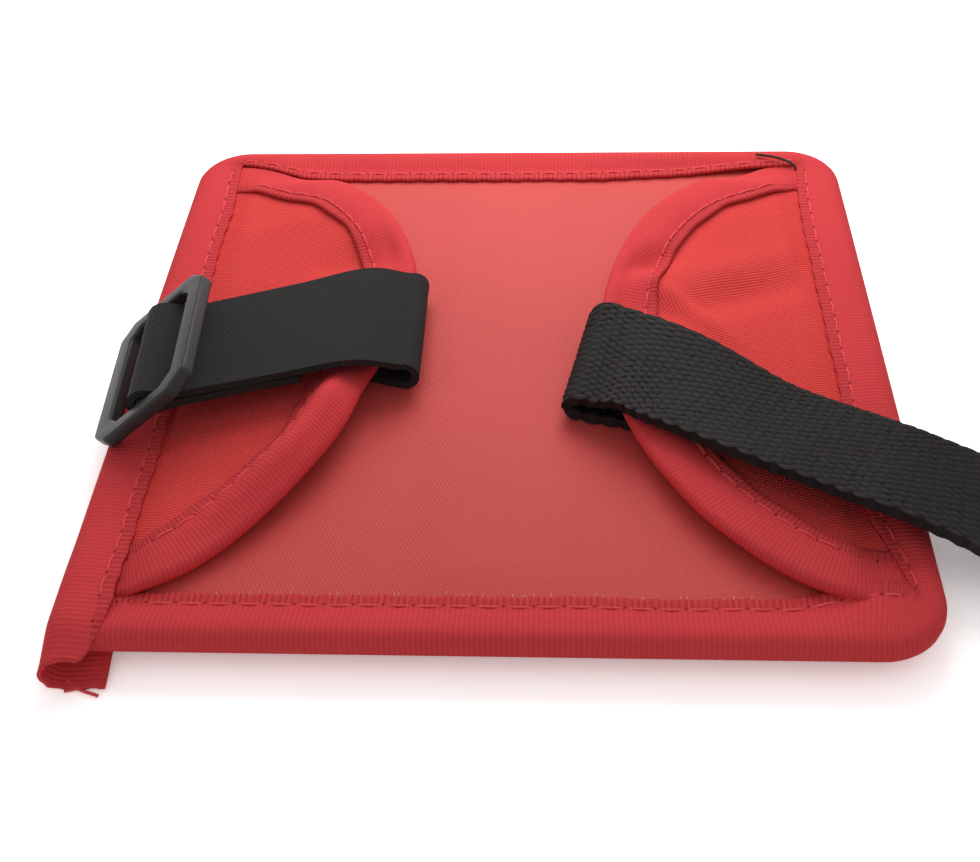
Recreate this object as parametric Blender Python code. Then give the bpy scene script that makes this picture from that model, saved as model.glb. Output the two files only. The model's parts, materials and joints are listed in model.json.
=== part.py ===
"""Wrist pin cushion, lying on its pin side with both wings folded in over the wrist panel.

Metres, +Z up. The origin is the middle of the flat face that rests on the table. X runs to the right,
from the elastic's side to the webbing's side, and Y runs away from the raw tape end.
"""
import math

import bmesh
import bpy
from mathutils import Matrix, Vector

# Pad and its edge
PAD_WIDTH = 0.110
PAD_DEPTH = 0.106
CORNER_RADIUS = 0.0086
LEAST_CORNER = 0.0026
CLEARANCE = 0.0003
CROWN_HEIGHT = 0.0022
CROWN_SLOPE = 0.012
CROWN_DRAW_IN = 0.0012
BARE_STRIP = 0.016
STRIP_RISE = 0.0003
STRIP_SLOPE = 0.0014

# Cloth, tape and sheet thicknesses
TAPE_THICKNESS = 0.0005
CANVAS_THICKNESS = 0.0005
PANEL_THICKNESS = 0.0006
COVER_THICKNESS = 0.0005
GUARD_THICKNESS = 0.0008
ELASTIC_THICKNESS = 0.0011
WEBBING_THICKNESS = 0.0015

# Binding tape and its stitching
TAPE_LEG = 0.0078
TAPE_TAIL = 0.0045
WING_TAPE_LEG = 0.0080
THREAD_DIAMETER = 0.00035
THREAD_GAP = 0.00015
STITCH_FROM_TAPE_EDGE = 0.0016

# Pin guard and filling
GUARD_INSET = 0.0145
FILLING_INSET = 0.0175
FILLING_ROUND = 0.0006

# Wings
WING_REACH = 0.0330
WING_END_GAP = 0.0006
WING_TAPE_START = 0.0021
MARGIN_WIDTH = 0.0052
LEFT_WING_APEX = 0.008
LEFT_WING_BACK_POWER = 2.2
LEFT_WING_FRONT_POWER = 1.6
RIGHT_WING_APEX = 0.0
RIGHT_WING_POWER = 2.0
LEFT_LIFT = 0.0022
LEFT_LIFT_FROM_APEX = 0.029
LEFT_LIFT_FROM_TIP = 0.006
LEFT_LIFT_SPREAD = 0.006

# Straps
ELASTIC_WIDTH = 0.020
WEBBING_WIDTH = 0.0188
ROOT_LENGTH = 0.016
FOLD_SLACK = 0.00065
ELASTIC_YAW = math.radians(16)
ELASTIC_APEX_Y = 0.0026
ELASTIC_HUMP = 0.0004
ELASTIC_HUMP_AT = 0.0086
ELASTIC_TAIL_LENGTH = 0.0138
WEBBING_YAW = math.radians(-13)
WEBBING_APEX_Y = -0.0042
WEBBING_FOLD_SLACK = 0.0022
WEBBING_SAG_LENGTH = 0.022
WEBBING_TAIL = 0.048
WEBBING_TAIL_YAW = math.radians(-20)
WEBBING_TWIST = math.radians(10)
LOOP_LEAN = math.radians(35)

# How far the webbing has drifted to the front from its fold, where it crosses each place
DRIFT_AT_TAPE = 0.0056
DRIFT_ON_WING = 0.0141
DRIFT_AT_HINGE = 0.0206
DRIFT_AT_EDGE = 0.0241
DRIFT_IN_AIR = 0.0276
DRIFT_ON_TABLE = 0.0308

# Slider buckle
BUCKLE_FROM_EDGE = 0.0054
BUCKLE_LIFT = 0.0051
BUCKLE_TILT = math.radians(39)
BUCKLE_TURN = math.radians(6)
BUCKLE_THICKNESS = 0.0020
BUCKLE_END_BAR = 0.0030
BUCKLE_SIDE_BAR = 0.0025
BUCKLE_SLOT = 0.0053
BUCKLE_BAR_RADIUS = 0.0010
BUCKLE_CORNER = 0.0032
BUCKLE_EDGE_ROUND = 0.0005
STRAP_PLAY = 0.0010

# Mesh steps
CORNER_STEPS = 6
RUN_STEPS = 4
BEND_STEPS = 6
WING_STEPS = 30
FOLD_STEPS = 12
LOOP_STEPS = 16
SLOPE_STEPS = 5
CANVAS_ROWS = 10
BAR_SIDES = 12
ANGLE_NUDGE = 0.001

# Heights of the layers, from the table up
BINDING_BOTTOM = CROWN_HEIGHT
COVER_EDGE = BINDING_BOTTOM + TAPE_THICKNESS + CLEARANCE + COVER_THICKNESS / 2
PANEL_BOTTOM = COVER_EDGE + COVER_THICKNESS / 2 + CLEARANCE
PANEL_TOP = PANEL_BOTTOM + PANEL_THICKNESS
MARGIN_BOTTOM = PANEL_TOP + CLEARANCE
BINDING_INNER_TOP = MARGIN_BOTTOM + CANVAS_THICKNESS + CLEARANCE
BINDING_TOP = BINDING_INNER_TOP + TAPE_THICKNESS
BINDING_MIDDLE = (BINDING_BOTTOM + BINDING_TOP) / 2
BINDING_HALF = (BINDING_TOP - BINDING_BOTTOM - TAPE_THICKNESS) / 2
GUARD_TOP = PANEL_BOTTOM - CLEARANCE
GUARD_BOTTOM = GUARD_TOP - GUARD_THICKNESS
FILLING_TOP = GUARD_BOTTOM - CLEARANCE
SEAM_RISE = THREAD_GAP + THREAD_DIAMETER

# Wing fold lines and heights
HALF_WIDTH = PAD_WIDTH / 2
HALF_DEPTH = PAD_DEPTH / 2
HINGE_X = HALF_WIDTH - TAPE_LEG - CLEARANCE
HINGE_Z = BINDING_TOP + CLEARANCE / 2
WING_HALF_LENGTH = HALF_DEPTH - TAPE_LEG - WING_END_GAP
WING_TIP_X = HINGE_X - WING_REACH
WING_ROOT_MIDDLE = BINDING_INNER_TOP + CANVAS_THICKNESS / 2
WING_TAPE_HALF = CANVAS_THICKNESS / 2 + CLEARANCE + TAPE_THICKNESS / 2
WING_TAPE_STACK = WING_TAPE_HALF + TAPE_THICKNESS / 2
RISE_LENGTH = WING_REACH - WING_TAPE_LEG

LEFT, RIGHT = -1, 1


def clear_scene():
    for item in list(bpy.data.objects):
        bpy.data.objects.remove(item, do_unlink=True)


def material(name, colour, roughness):
    made = bpy.data.materials.new(name)
    made.use_nodes = True
    shader = made.node_tree.nodes["Principled BSDF"]
    shader.inputs["Base Color"].default_value = (*colour, 1.0)
    shader.inputs["Roughness"].default_value = roughness
    shader.inputs["Metallic"].default_value = 0.0
    return made


def axis_empty(name, place, parent=None):
    """An empty on a joint's axis, which carries the pieces that turn there."""
    empty = bpy.data.objects.new(name, None)
    bpy.context.collection.objects.link(empty)
    empty["world_place"] = tuple(place)
    start = Vector(parent["world_place"]) if parent else Vector()
    empty.location = Vector(place) - start
    empty.parent = parent
    return empty


def carrier_place(carrier):
    return Vector(carrier["world_place"]) if carrier else Vector()


def add_piece(name, data, finish, carrier):
    piece = bpy.data.objects.new(name, data)
    bpy.context.collection.objects.link(piece)
    data.materials.append(finish)
    piece.parent = carrier
    return piece


def mesh_piece(name, work, finish, carrier=None):
    """Turns a bmesh in world coordinates into a named object with its origin on its carrier."""
    bmesh.ops.translate(work, verts=work.verts, vec=-carrier_place(carrier))
    mesh = bpy.data.meshes.new(name)
    work.to_mesh(mesh)
    work.free()
    mesh.shade_smooth()
    mesh.set_sharp_from_angle(angle=math.radians(40))
    return add_piece(name, mesh, finish, carrier)


def cloth_piece(name, columns, rows, place, thickness, finish, carrier=None):
    """A sheet: a grid laid on the middle surface that place(column, row) gives, then thickened."""
    work = bmesh.new()
    bmesh.ops.create_grid(work, x_segments=columns, y_segments=rows, size=0.5)
    for vertex in work.verts:
        column = round((vertex.co.x + 0.5) * columns)
        row = round((vertex.co.y + 0.5) * rows)
        vertex.co = place(column, row)
    piece = mesh_piece(name, work, finish, carrier)
    thicken = piece.modifiers.new("thickness", "SOLIDIFY")
    thicken.thickness = thickness
    thicken.offset = 0.0
    thicken.use_even_offset = True
    return piece


def ribbon_piece(name, centres, half_widths, thickness, finish, carrier=None):
    """A strap: centre points along its middle, and a half-width vector at each of them."""

    def place(column, row):
        return centres[column] + half_widths[column] * (row - 1)

    return cloth_piece(name, len(centres) - 1, 2, place, thickness, finish, carrier)


def thread_piece(name, points, finish, carrier=None):
    start = carrier_place(carrier)
    curve = bpy.data.curves.new(name, "CURVE")
    curve.dimensions = "3D"
    curve.bevel_depth = THREAD_DIAMETER / 2
    curve.bevel_resolution = 1
    curve.use_fill_caps = True
    spline = curve.splines.new("POLY")
    spline.points.add(len(points) - 1)
    for spot, point in zip(spline.points, points):
        spot.co = (*(point - start), 1.0)
    return add_piece(name, curve, finish, carrier)


def smooth_route(knots, steps):
    """Points on a Catmull-Rom curve through the knots, with so many steps between neighbours."""
    padded = [knots[0] * 2 - knots[1], *knots, knots[-1] * 2 - knots[-2]]
    points = []
    for before, start, end, after in zip(padded, padded[1:], padded[2:], padded[3:]):
        for step in range(steps):
            t = step / steps
            points.append(
                start
                + (end - before) * (0.5 * t)
                + (before * 2 - start * 5 + end * 4 - after) * (0.5 * t * t)
                + (start * 3 - before - end * 3 + after) * (0.5 * t * t * t)
            )
    return [*points, knots[-1].copy()]


def ease(share):
    share = min(max(share, 0.0), 1.0)
    return share * share * (3 - 2 * share)


# Edge binding, panel, cover and filling


def edge_stations():
    """Points along the pad's outline with their inward directions, in the order the tape is sewn:
    along the front, round three corners and down the left side past the front."""
    inner_x = HALF_WIDTH - CORNER_RADIUS
    inner_y = HALF_DEPTH - CORNER_RADIUS
    front_start = -HALF_WIDTH + TAPE_LEG + CLEARANCE
    stations = []

    def straight(start, end, inward):
        for step in range(RUN_STEPS + 1):
            stations.append((start.lerp(end, step / RUN_STEPS), inward))

    def corner(centre, first_angle):
        for step in range(1, CORNER_STEPS):
            angle = first_angle + math.pi / 2 * step / CORNER_STEPS
            outward = Vector((math.cos(angle), math.sin(angle)))
            stations.append((centre + outward * CORNER_RADIUS, -outward))

    straight(Vector((front_start, -HALF_DEPTH)), Vector((inner_x, -HALF_DEPTH)), Vector((0, 1)))
    corner(Vector((inner_x, -inner_y)), -math.pi / 2)
    straight(Vector((HALF_WIDTH, -inner_y)), Vector((HALF_WIDTH, inner_y)), Vector((-1, 0)))
    corner(Vector((inner_x, inner_y)), 0.0)
    straight(Vector((inner_x, HALF_DEPTH)), Vector((-inner_x, HALF_DEPTH)), Vector((0, -1)))
    corner(Vector((-inner_x, inner_y)), math.pi / 2)
    straight(
        Vector((-HALF_WIDTH, inner_y)), Vector((-HALF_WIDTH, -HALF_DEPTH - TAPE_TAIL)), Vector((1, 0))
    )
    return stations


def tape_section(leg, half_height):
    """The tape's middle line across an edge, as (distance in from the edge, height): over, round, under."""
    centre = TAPE_THICKNESS / 2 + half_height
    section = [(leg, half_height), ((leg + centre) / 2, half_height)]
    for step in range(BEND_STEPS + 1):
        angle = math.pi / 2 + math.pi * step / BEND_STEPS
        section.append((centre + half_height * math.cos(angle), half_height * math.sin(angle)))
    section += [((leg + centre) / 2, -half_height), (leg, -half_height)]
    return section


def outline(inset, draw_in=0.0):
    """A rounded rectangle inside the pad's outline, its sides drawn in between the corners."""
    radius = max(CORNER_RADIUS - inset, LEAST_CORNER)
    half_x = HALF_WIDTH - inset
    half_y = HALF_DEPTH - inset
    quarters = (
        (1, 1, Vector((0, half_y))),
        (-1, 1, Vector((-half_x, 0))),
        (-1, -1, Vector((0, -half_y))),
        (1, -1, Vector((half_x, 0))),
    )
    points = []
    for quarter, (sign_x, sign_y, middle) in enumerate(quarters):
        centre = Vector((sign_x * (half_x - radius), sign_y * (half_y - radius)))
        for step in range(CORNER_STEPS + 1):
            angle = math.pi / 2 * (quarter + step / CORNER_STEPS)
            points.append(centre + Vector((math.cos(angle), math.sin(angle))) * radius)
        points.append(middle * (1 - draw_in / middle.length))
    return points


def stacked_rings(layers, open_start=False):
    """A skin through outlines of equal point counts at their heights, with its last outline filled, and
    its first one too unless it stays open."""
    work = bmesh.new()
    rings = []
    for points, height in layers:
        rings.append([work.verts.new((point.x, point.y, height)) for point in points])
    for first, second in zip(rings, rings[1:]):
        for here in range(len(first)):
            work.faces.new((first[here - 1], first[here], second[here], second[here - 1]))
    work.faces.new(rings[-1])
    if not open_start:
        work.faces.new(rings[0])
    bmesh.ops.recalc_face_normals(work, faces=work.faces)
    return work


def crown_height(inset):
    """The cover's middle height: level in the seam, then down to the flat face on the table."""
    bottom = COVER_THICKNESS / 2
    share = (inset - TAPE_LEG - CLEARANCE * 2) / CROWN_SLOPE
    return COVER_EDGE + (bottom - COVER_EDGE) * ease(share)


def raise_strip(panel):
    """Lifts the panel's bare strip between the wings, where the filling swells it, on short slopes."""
    strip = Vector((BARE_STRIP / 2, HALF_DEPTH - TAPE_LEG - STRIP_SLOPE - CLEARANCE, 0))
    for across in (0, 1):
        normal = Vector((0, 0, 0))
        normal[across] = 1
        for distance in (strip[across], strip[across] + STRIP_SLOPE):
            for place in (normal * distance, normal * -distance):
                parts = [*panel.verts, *panel.edges, *panel.faces]
                bmesh.ops.bisect_plane(panel, geom=parts, plane_co=place, plane_no=normal)
    for vertex in panel.verts:
        if abs(vertex.co.x) < strip.x + CLEARANCE and abs(vertex.co.y) < strip.y + CLEARANCE:
            vertex.co.z += STRIP_RISE


def build_pad(finishes):
    stations = edge_stations()
    section = tape_section(TAPE_LEG, BINDING_HALF)

    def tape_place(column, row):
        base, inward = stations[column]
        inset, height = section[row]
        spot = base + inward * inset
        return Vector((spot.x, spot.y, BINDING_MIDDLE + height))

    cloth_piece(
        "edge_binding", len(stations) - 1, len(section) - 1, tape_place, TAPE_THICKNESS, finishes["tape"]
    )
    stitch_inset = TAPE_LEG - STITCH_FROM_TAPE_EDGE
    thread_height = BINDING_TOP + SEAM_RISE - THREAD_DIAMETER / 2
    lift = Vector((0, 0, thread_height))
    seam = [(base + inward * stitch_inset).to_3d() + lift for base, inward in stations]
    thread_piece("edge_seam_thread", seam, finishes["thread"])

    edge_inset = TAPE_THICKNESS / 2 + BINDING_HALF
    edge = outline(edge_inset)
    panel = stacked_rings([(edge, PANEL_BOTTOM), (edge, PANEL_TOP)])
    raise_strip(panel)
    mesh_piece("back_panel", panel, finishes["panel"])
    guard = outline(GUARD_INSET)
    mesh_piece("guard_plate", stacked_rings([(guard, GUARD_BOTTOM), (guard, GUARD_TOP)]), finishes["guard"])

    crown_start = TAPE_LEG + CLEARANCE * 2
    insets = [edge_inset]
    insets += [crown_start + CROWN_SLOPE * step / SLOPE_STEPS for step in range(SLOPE_STEPS + 1)]
    layers = []
    for inset in insets:
        draw_in = CROWN_DRAW_IN * ease((inset - crown_start) / CROWN_SLOPE)
        layers.append((outline(inset, draw_in), crown_height(inset)))
    cover_piece = mesh_piece("face_cover", stacked_rings(layers, open_start=True), finishes["cover"])
    thicken = cover_piece.modifiers.new("thickness", "SOLIDIFY")
    thicken.thickness = COVER_THICKNESS
    thicken.offset = 0.0

    filling_low = COVER_THICKNESS + CLEARANCE
    filling_edge = crown_height(FILLING_INSET) + COVER_THICKNESS / 2 + CLEARANCE * 2
    filling = stacked_rings(
        [
            (outline(FILLING_INSET + FILLING_ROUND, CROWN_DRAW_IN), FILLING_TOP),
            (outline(FILLING_INSET, CROWN_DRAW_IN), FILLING_TOP - FILLING_ROUND),
            (outline(FILLING_INSET, CROWN_DRAW_IN), max(filling_edge, filling_low)),
            (outline(crown_start + CROWN_SLOPE + CLEARANCE, CROWN_DRAW_IN), filling_low),
        ]
    )
    mesh_piece("pad_filling", filling, finishes["filling"])


# Wings


def wing_lift(side, x, y):
    """Extra height where the left wing's front edge has twisted up off the panel."""
    if side == RIGHT:
        return 0.0
    away = Vector((x + WING_TIP_X + LEFT_LIFT_FROM_TIP, y - LEFT_WING_APEX + LEFT_LIFT_FROM_APEX)).length
    return LEFT_LIFT * math.exp(-((away / LEFT_LIFT_SPREAD) ** 2) / 2)


def strap_thickness(side):
    return ELASTIC_THICKNESS if side == LEFT else WEBBING_THICKNESS


def wing_tip_middle(side):
    return PANEL_TOP + CLEARANCE * 2 + strap_thickness(side) + WING_TAPE_STACK


def wing_middle(side, x, y):
    """Height of the middle of the wing's canvas."""
    from_fold = HINGE_X - side * x
    rise = wing_tip_middle(side) - WING_ROOT_MIDDLE
    return WING_ROOT_MIDDLE + rise * ease(from_fold / RISE_LENGTH) + wing_lift(side, x, y)


def wing_edge(side, angle):
    """A point on the wing's curved edge: angle 0 at the front end, pi at the back end."""
    apex = LEFT_WING_APEX if side == LEFT else RIGHT_WING_APEX
    back = angle > math.pi / 2
    power = RIGHT_WING_POWER
    if side == LEFT:
        power = LEFT_WING_BACK_POWER if back else LEFT_WING_FRONT_POWER
    span = WING_HALF_LENGTH - apex if back else WING_HALF_LENGTH + apex
    reach = WING_REACH * math.sin(angle) ** (2 / power)
    along = span * abs(math.cos(angle)) ** (2 / power)
    return Vector((side * (HINGE_X - reach), apex + (along if back else -along)))


def wing_stations(side):
    """Points along the wing's curved edge with inward directions, from the tape's start to its end.
    The whole width of the tape stays clear of the fold line."""

    def station(angle):
        along = wing_edge(side, angle + ANGLE_NUDGE) - wing_edge(side, angle - ANGLE_NUDGE)
        along.normalize()
        return wing_edge(side, angle), Vector((-along.y, along.x)) * -side

    def too_near(angle):
        edge, inward = station(angle)
        reaches = [HINGE_X - side * point.x for point in (edge, edge + inward * WING_TAPE_LEG)]
        return min(reaches) < WING_TAPE_START

    start = ANGLE_NUDGE
    while too_near(start):
        start += ANGLE_NUDGE
    finish = math.pi - ANGLE_NUDGE
    while too_near(finish):
        finish -= ANGLE_NUDGE
    return [station(start + (finish - start) * step / WING_STEPS) for step in range(WING_STEPS + 1)]


def build_wing(side, name, finishes, hinge):
    stations = wing_stations(side)
    section = tape_section(WING_TAPE_LEG, WING_TAPE_HALF)
    canvas_inset = TAPE_THICKNESS / 2 + WING_TAPE_HALF

    def canvas_place(column, row):
        base, inward = stations[column]
        edge = base + inward * canvas_inset
        spot = Vector((side * HINGE_X, edge.y)).lerp(edge, row / CANVAS_ROWS)
        return Vector((spot.x, spot.y, wing_middle(side, spot.x, spot.y)))

    def tape_place(column, row):
        base, inward = stations[column]
        inset, height = section[row]
        spot = base + inward * inset
        return Vector((spot.x, spot.y, wing_middle(side, spot.x, spot.y) + height))

    cloth_piece(
        f"{name}_panel", WING_STEPS, CANVAS_ROWS, canvas_place, CANVAS_THICKNESS, finishes["canvas"], hinge
    )
    cloth_piece(
        f"{name}_binding", WING_STEPS, len(section) - 1, tape_place, TAPE_THICKNESS, finishes["tape"], hinge
    )
    seam = []
    for base, inward in stations:
        spot = base + inward * (WING_TAPE_LEG - STITCH_FROM_TAPE_EDGE)
        height = wing_middle(side, spot.x, spot.y) + WING_TAPE_STACK + SEAM_RISE - THREAD_DIAMETER / 2
        seam.append(Vector((spot.x, spot.y, height)))
    thread_piece(f"{name}_thread", seam, finishes["thread"], hinge)

    margin_start = HALF_WIDTH - TAPE_LEG + CLEARANCE
    margin_middle = Vector((side * (margin_start + MARGIN_WIDTH / 2), 0, MARGIN_BOTTOM + CANVAS_THICKNESS / 2))
    margin_size = Vector((MARGIN_WIDTH, 2 * (WING_HALF_LENGTH - CORNER_RADIUS / 2), CANVAS_THICKNESS))
    work = bmesh.new()
    bmesh.ops.create_cube(work, size=1.0)
    bmesh.ops.scale(work, verts=work.verts, vec=margin_size)
    bmesh.ops.translate(work, verts=work.verts, vec=margin_middle)
    mesh_piece(f"{name}_margin", work, finishes["canvas"])


# Elastic strap and slider buckle


def fold_heights(side):
    """Middle heights of a strap under the wing's tip, and back over its tape and stitches."""
    thickness = strap_thickness(side)
    low = PANEL_TOP + CLEARANCE + thickness / 2
    high = wing_tip_middle(side) + WING_TAPE_STACK + SEAM_RISE + CLEARANCE * 2 + thickness / 2
    return low, high


def elastic_plan():
    """The fold's apex, and the plan directions of the strap under and over the wing."""
    apex = Vector((-WING_TIP_X + FOLD_SLACK + ELASTIC_THICKNESS / 2, ELASTIC_APEX_Y, 0))
    under = Vector((-math.cos(ELASTIC_YAW), math.sin(ELASTIC_YAW), 0))
    over = Vector((-math.cos(ELASTIC_YAW), -math.sin(ELASTIC_YAW), 0))
    return apex, under, over


def buckle_axis():
    """The middle of the buckle's centre bar, on the elastic's middle line."""
    apex, _, over = elastic_plan()
    along = (apex.x + HALF_WIDTH - BUCKLE_FROM_EDGE) / -over.x
    place = apex + over * along
    place.z = BINDING_TOP + BUCKLE_LIFT
    return place, along


def bar_direction():
    """The way the buckle's centre bar runs: the buckle is tilted, and then turned in its own plane."""
    turned = Matrix.Rotation(-BUCKLE_TILT, 3, "Y") @ Matrix.Rotation(BUCKLE_TURN, 3, "Z")
    return turned @ Vector((0, 1, 0))


def strap_half(across, along):
    """The elastic's half-width vector on the line across, such that its width square to its run holds."""
    direction = across.normalized()
    return direction * (ELASTIC_WIDTH / 2 / direction.cross(along).length)


def build_elastic(finishes, wing_hinge, strap_axis, end_axis):
    low, high = fold_heights(LEFT)
    apex, under, over = elastic_plan()
    axis, axis_along = buckle_axis()
    radius = (high - low) / 2
    flex_along = flex_place()[1]
    layer = ELASTIC_THICKNESS + CLEARANCE
    pad_way = Vector((0, 1, 0))

    def at(along, height, direction=over):
        return apex + direction * along + Vector((0, 0, height))

    def half_at(along):
        share = ease((along - radius * 2) / (flex_along - radius * 2))
        return strap_half(pad_way.lerp(bar_direction(), share), over)

    still = strap_half(pad_way, over)
    root_end = radius + CLEARANCE + ROOT_LENGTH
    root = [at(root_end, low, under), at(radius + CLEARANCE, low, under)]
    ribbon_piece("elastic_root", root, [still, still], ELASTIC_THICKNESS, finishes["elastic"], wing_hinge)

    fold = []
    for step in range(FOLD_STEPS + 1):
        angle = -math.pi / 2 + math.pi * step / FOLD_STEPS
        direction = under if angle < 0 else over
        height = (low + high) / 2 + radius * math.sin(angle)
        fold.append(at(radius - radius * math.cos(angle), height, direction))
    fold_halves = [still] * len(fold)
    ribbon_piece("elastic_fold", fold, fold_halves, ELASTIC_THICKNESS, finishes["elastic"], strap_axis)

    level = run_level()
    hump = max(high, level) + ELASTIC_HUMP
    knots = [
        Vector((radius + CLEARANCE, high)),
        Vector((ELASTIC_HUMP_AT, hump)),
        Vector(((ELASTIC_HUMP_AT + flex_along) / 2, level + ELASTIC_HUMP / 2)),
        Vector((flex_along - CLEARANCE, level)),
    ]
    route = smooth_route(knots, RUN_STEPS)
    run = [at(spot.x, spot.y) for spot in route]
    run_halves = [half_at(spot.x) for spot in route]
    ribbon_piece("elastic_run", run, run_halves, ELASTIC_THICKNESS, finishes["elastic"], strap_axis)

    tail_route = [spot for spot in route if spot.x > flex_along - ELASTIC_TAIL_LENGTH]
    tail = [at(spot.x, spot.y - layer) for spot in tail_route]
    tail_halves = [half_at(spot.x) for spot in tail_route]
    ribbon_piece("elastic_tail", tail, tail_halves, ELASTIC_THICKNESS, finishes["elastic"], strap_axis)

    turn = BUCKLE_BAR_RADIUS + CLEARANCE + ELASTIC_THICKNESS / 2
    arc = []
    for step in range(LOOP_STEPS + 1):
        angle = math.pi / 2 + LOOP_LEAN - (math.pi + 2 * LOOP_LEAN) * step / LOOP_STEPS
        arc.append(Vector((axis_along + turn * math.cos(angle), axis.z + turn * math.sin(angle))))
    upper_start = Vector((flex_along + CLEARANCE, level))
    lower_end = Vector((flex_along + CLEARANCE, level - layer))
    upper_bend = Vector(((upper_start.x + arc[0].x) / 2, level))
    lower_bend = Vector(((lower_end.x + arc[-1].x) / 2, lower_end.y))
    upper = smooth_route([upper_start, upper_bend, arc[0]], RUN_STEPS)
    lower = smooth_route([arc[-1], lower_bend, lower_end], RUN_STEPS)
    loop_route = [*upper[:-1], *arc, *lower[1:]]
    loop = [at(spot.x, spot.y) for spot in loop_route]
    across = strap_half(bar_direction(), over)
    ribbon_piece("elastic_loop", loop, [across] * len(loop), ELASTIC_THICKNESS, finishes["elastic"], end_axis)


def run_level():
    """Middle height of the elastic beside the buckle, where it passes under the near end bar."""
    return buckle_axis()[0].z + BUCKLE_BAR_RADIUS / 2


def flex_place():
    """Where the elastic bends when the buckle end is lifted, and how far along the strap that is."""
    apex, _, over = elastic_plan()
    half_length = BUCKLE_BAR_RADIUS + BUCKLE_SLOT + BUCKLE_END_BAR
    reach = half_length * math.cos(BUCKLE_TILT) + BUCKLE_THICKNESS / 2 * math.sin(BUCKLE_TILT)
    along = buckle_axis()[1] - reach - CLEARANCE * 2
    place = apex + over * along
    place.z = run_level() + ELASTIC_THICKNESS / 2
    return place, along


def cutter(name, work):
    mesh = bpy.data.meshes.new(name)
    work.to_mesh(mesh)
    work.free()
    guide = bpy.data.objects.new(name, mesh)
    bpy.context.collection.objects.link(guide)
    guide.hide_render = True
    guide.display_type = "WIRE"
    return guide


def edge_rise(edge):
    return abs(edge.verts[0].co.z - edge.verts[1].co.z)


def build_buckle(finish, end_axis):
    window = 2 * BUCKLE_SLOT + 2 * BUCKLE_BAR_RADIUS
    opening = ELASTIC_WIDTH + 2 * STRAP_PLAY
    place = (
        Matrix.Translation(buckle_axis()[0])
        @ Matrix.Rotation(-BUCKLE_TILT, 4, "Y")
        @ Matrix.Rotation(BUCKLE_TURN, 4, "Z")
    )
    work = bmesh.new()
    bmesh.ops.create_cube(work, size=1.0)
    size = Vector((window + 2 * BUCKLE_END_BAR, opening + 2 * BUCKLE_SIDE_BAR, BUCKLE_THICKNESS))
    bmesh.ops.scale(work, verts=work.verts, vec=size)
    upright = [edge for edge in work.edges if edge_rise(edge) > BUCKLE_THICKNESS / 2]
    bmesh.ops.bevel(
        work, geom=upright, offset=BUCKLE_CORNER, segments=2, profile=0.5, affect="EDGES", material=-1
    )
    rims = [edge for edge in work.edges if edge_rise(edge) < BUCKLE_THICKNESS / 2]
    bmesh.ops.bevel(
        work, geom=rims, offset=BUCKLE_EDGE_ROUND, segments=1, profile=0.5, affect="EDGES", material=-1
    )
    bmesh.ops.transform(work, matrix=place, verts=work.verts)
    buckle = mesh_piece("slider_buckle", work, finish, end_axis)

    hole = bmesh.new()
    bmesh.ops.create_cube(hole, size=1.0)
    bmesh.ops.scale(hole, verts=hole.verts, vec=(window, opening, BUCKLE_THICKNESS * 3))
    bmesh.ops.transform(hole, matrix=place, verts=hole.verts)
    bar = bmesh.new()
    bmesh.ops.create_cone(
        bar,
        cap_ends=True,
        segments=BAR_SIDES,
        radius1=BUCKLE_BAR_RADIUS,
        radius2=BUCKLE_BAR_RADIUS,
        depth=opening + BUCKLE_SIDE_BAR,
    )
    bmesh.ops.transform(bar, matrix=place @ Matrix.Rotation(math.pi / 2, 4, "X"), verts=bar.verts)
    steps = ((cutter("buckle_window", hole), "DIFFERENCE"), (cutter("buckle_bar", bar), "UNION"))
    for guide, operation in steps:
        change = buckle.modifiers.new(guide.name, "BOOLEAN")
        change.object = guide
        change.operation = operation


# Webbing strap


def webbing_apex():
    return Vector((WING_TIP_X - WEBBING_FOLD_SLACK - WEBBING_THICKNESS / 2, WEBBING_APEX_Y, 0))


def webbing_route():
    """The strap's middle line from the fold over the wing, off the pad's edge and along the table, as
    (x, y, z, share of the twist that lifts the strap's front edge)."""
    low, high = fold_heights(RIGHT)
    radius = (high - low) / 2
    half = WEBBING_THICKNESS / 2
    front_rise = WEBBING_WIDTH / 2 * math.sin(WEBBING_TWIST)
    over_seam = BINDING_TOP + SEAM_RISE + CLEARANCE * 2 + half + front_rise
    table = CLEARANCE + half
    tape_x = WING_TIP_X + WING_TAPE_LEG

    def knot(x, drift, height, twist):
        return Vector((x, WEBBING_APEX_Y - drift, height, twist))

    apex = webbing_apex()
    way = Vector((math.cos(WEBBING_YAW), math.sin(WEBBING_YAW), 0, 0))
    tail_way = Vector((math.cos(WEBBING_TAIL_YAW), math.sin(WEBBING_TAIL_YAW), 0, 0))
    tail_start = knot(HALF_WIDTH + WEBBING_SAG_LENGTH, DRIFT_ON_TABLE, table, 0)
    knots = [
        knot(apex.x, 0, high, 0) + way * (radius + CLEARANCE),
        knot(tape_x, DRIFT_AT_TAPE, high, 0),
        knot((tape_x + HINGE_X) / 2, DRIFT_ON_WING, (high + over_seam) / 2, 1),
        knot(HINGE_X, DRIFT_AT_HINGE, over_seam, 1),
        knot(HALF_WIDTH - BINDING_HALF / 2, DRIFT_AT_EDGE, over_seam - CLEARANCE, 1),
        knot(HALF_WIDTH + WEBBING_SAG_LENGTH / 2, DRIFT_IN_AIR, (over_seam + table) / 2, 0.5),
        tail_start,
        tail_start + tail_way * (WEBBING_TAIL / 2),
        tail_start + tail_way * WEBBING_TAIL,
    ]
    return smooth_route(knots, RUN_STEPS)


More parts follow.
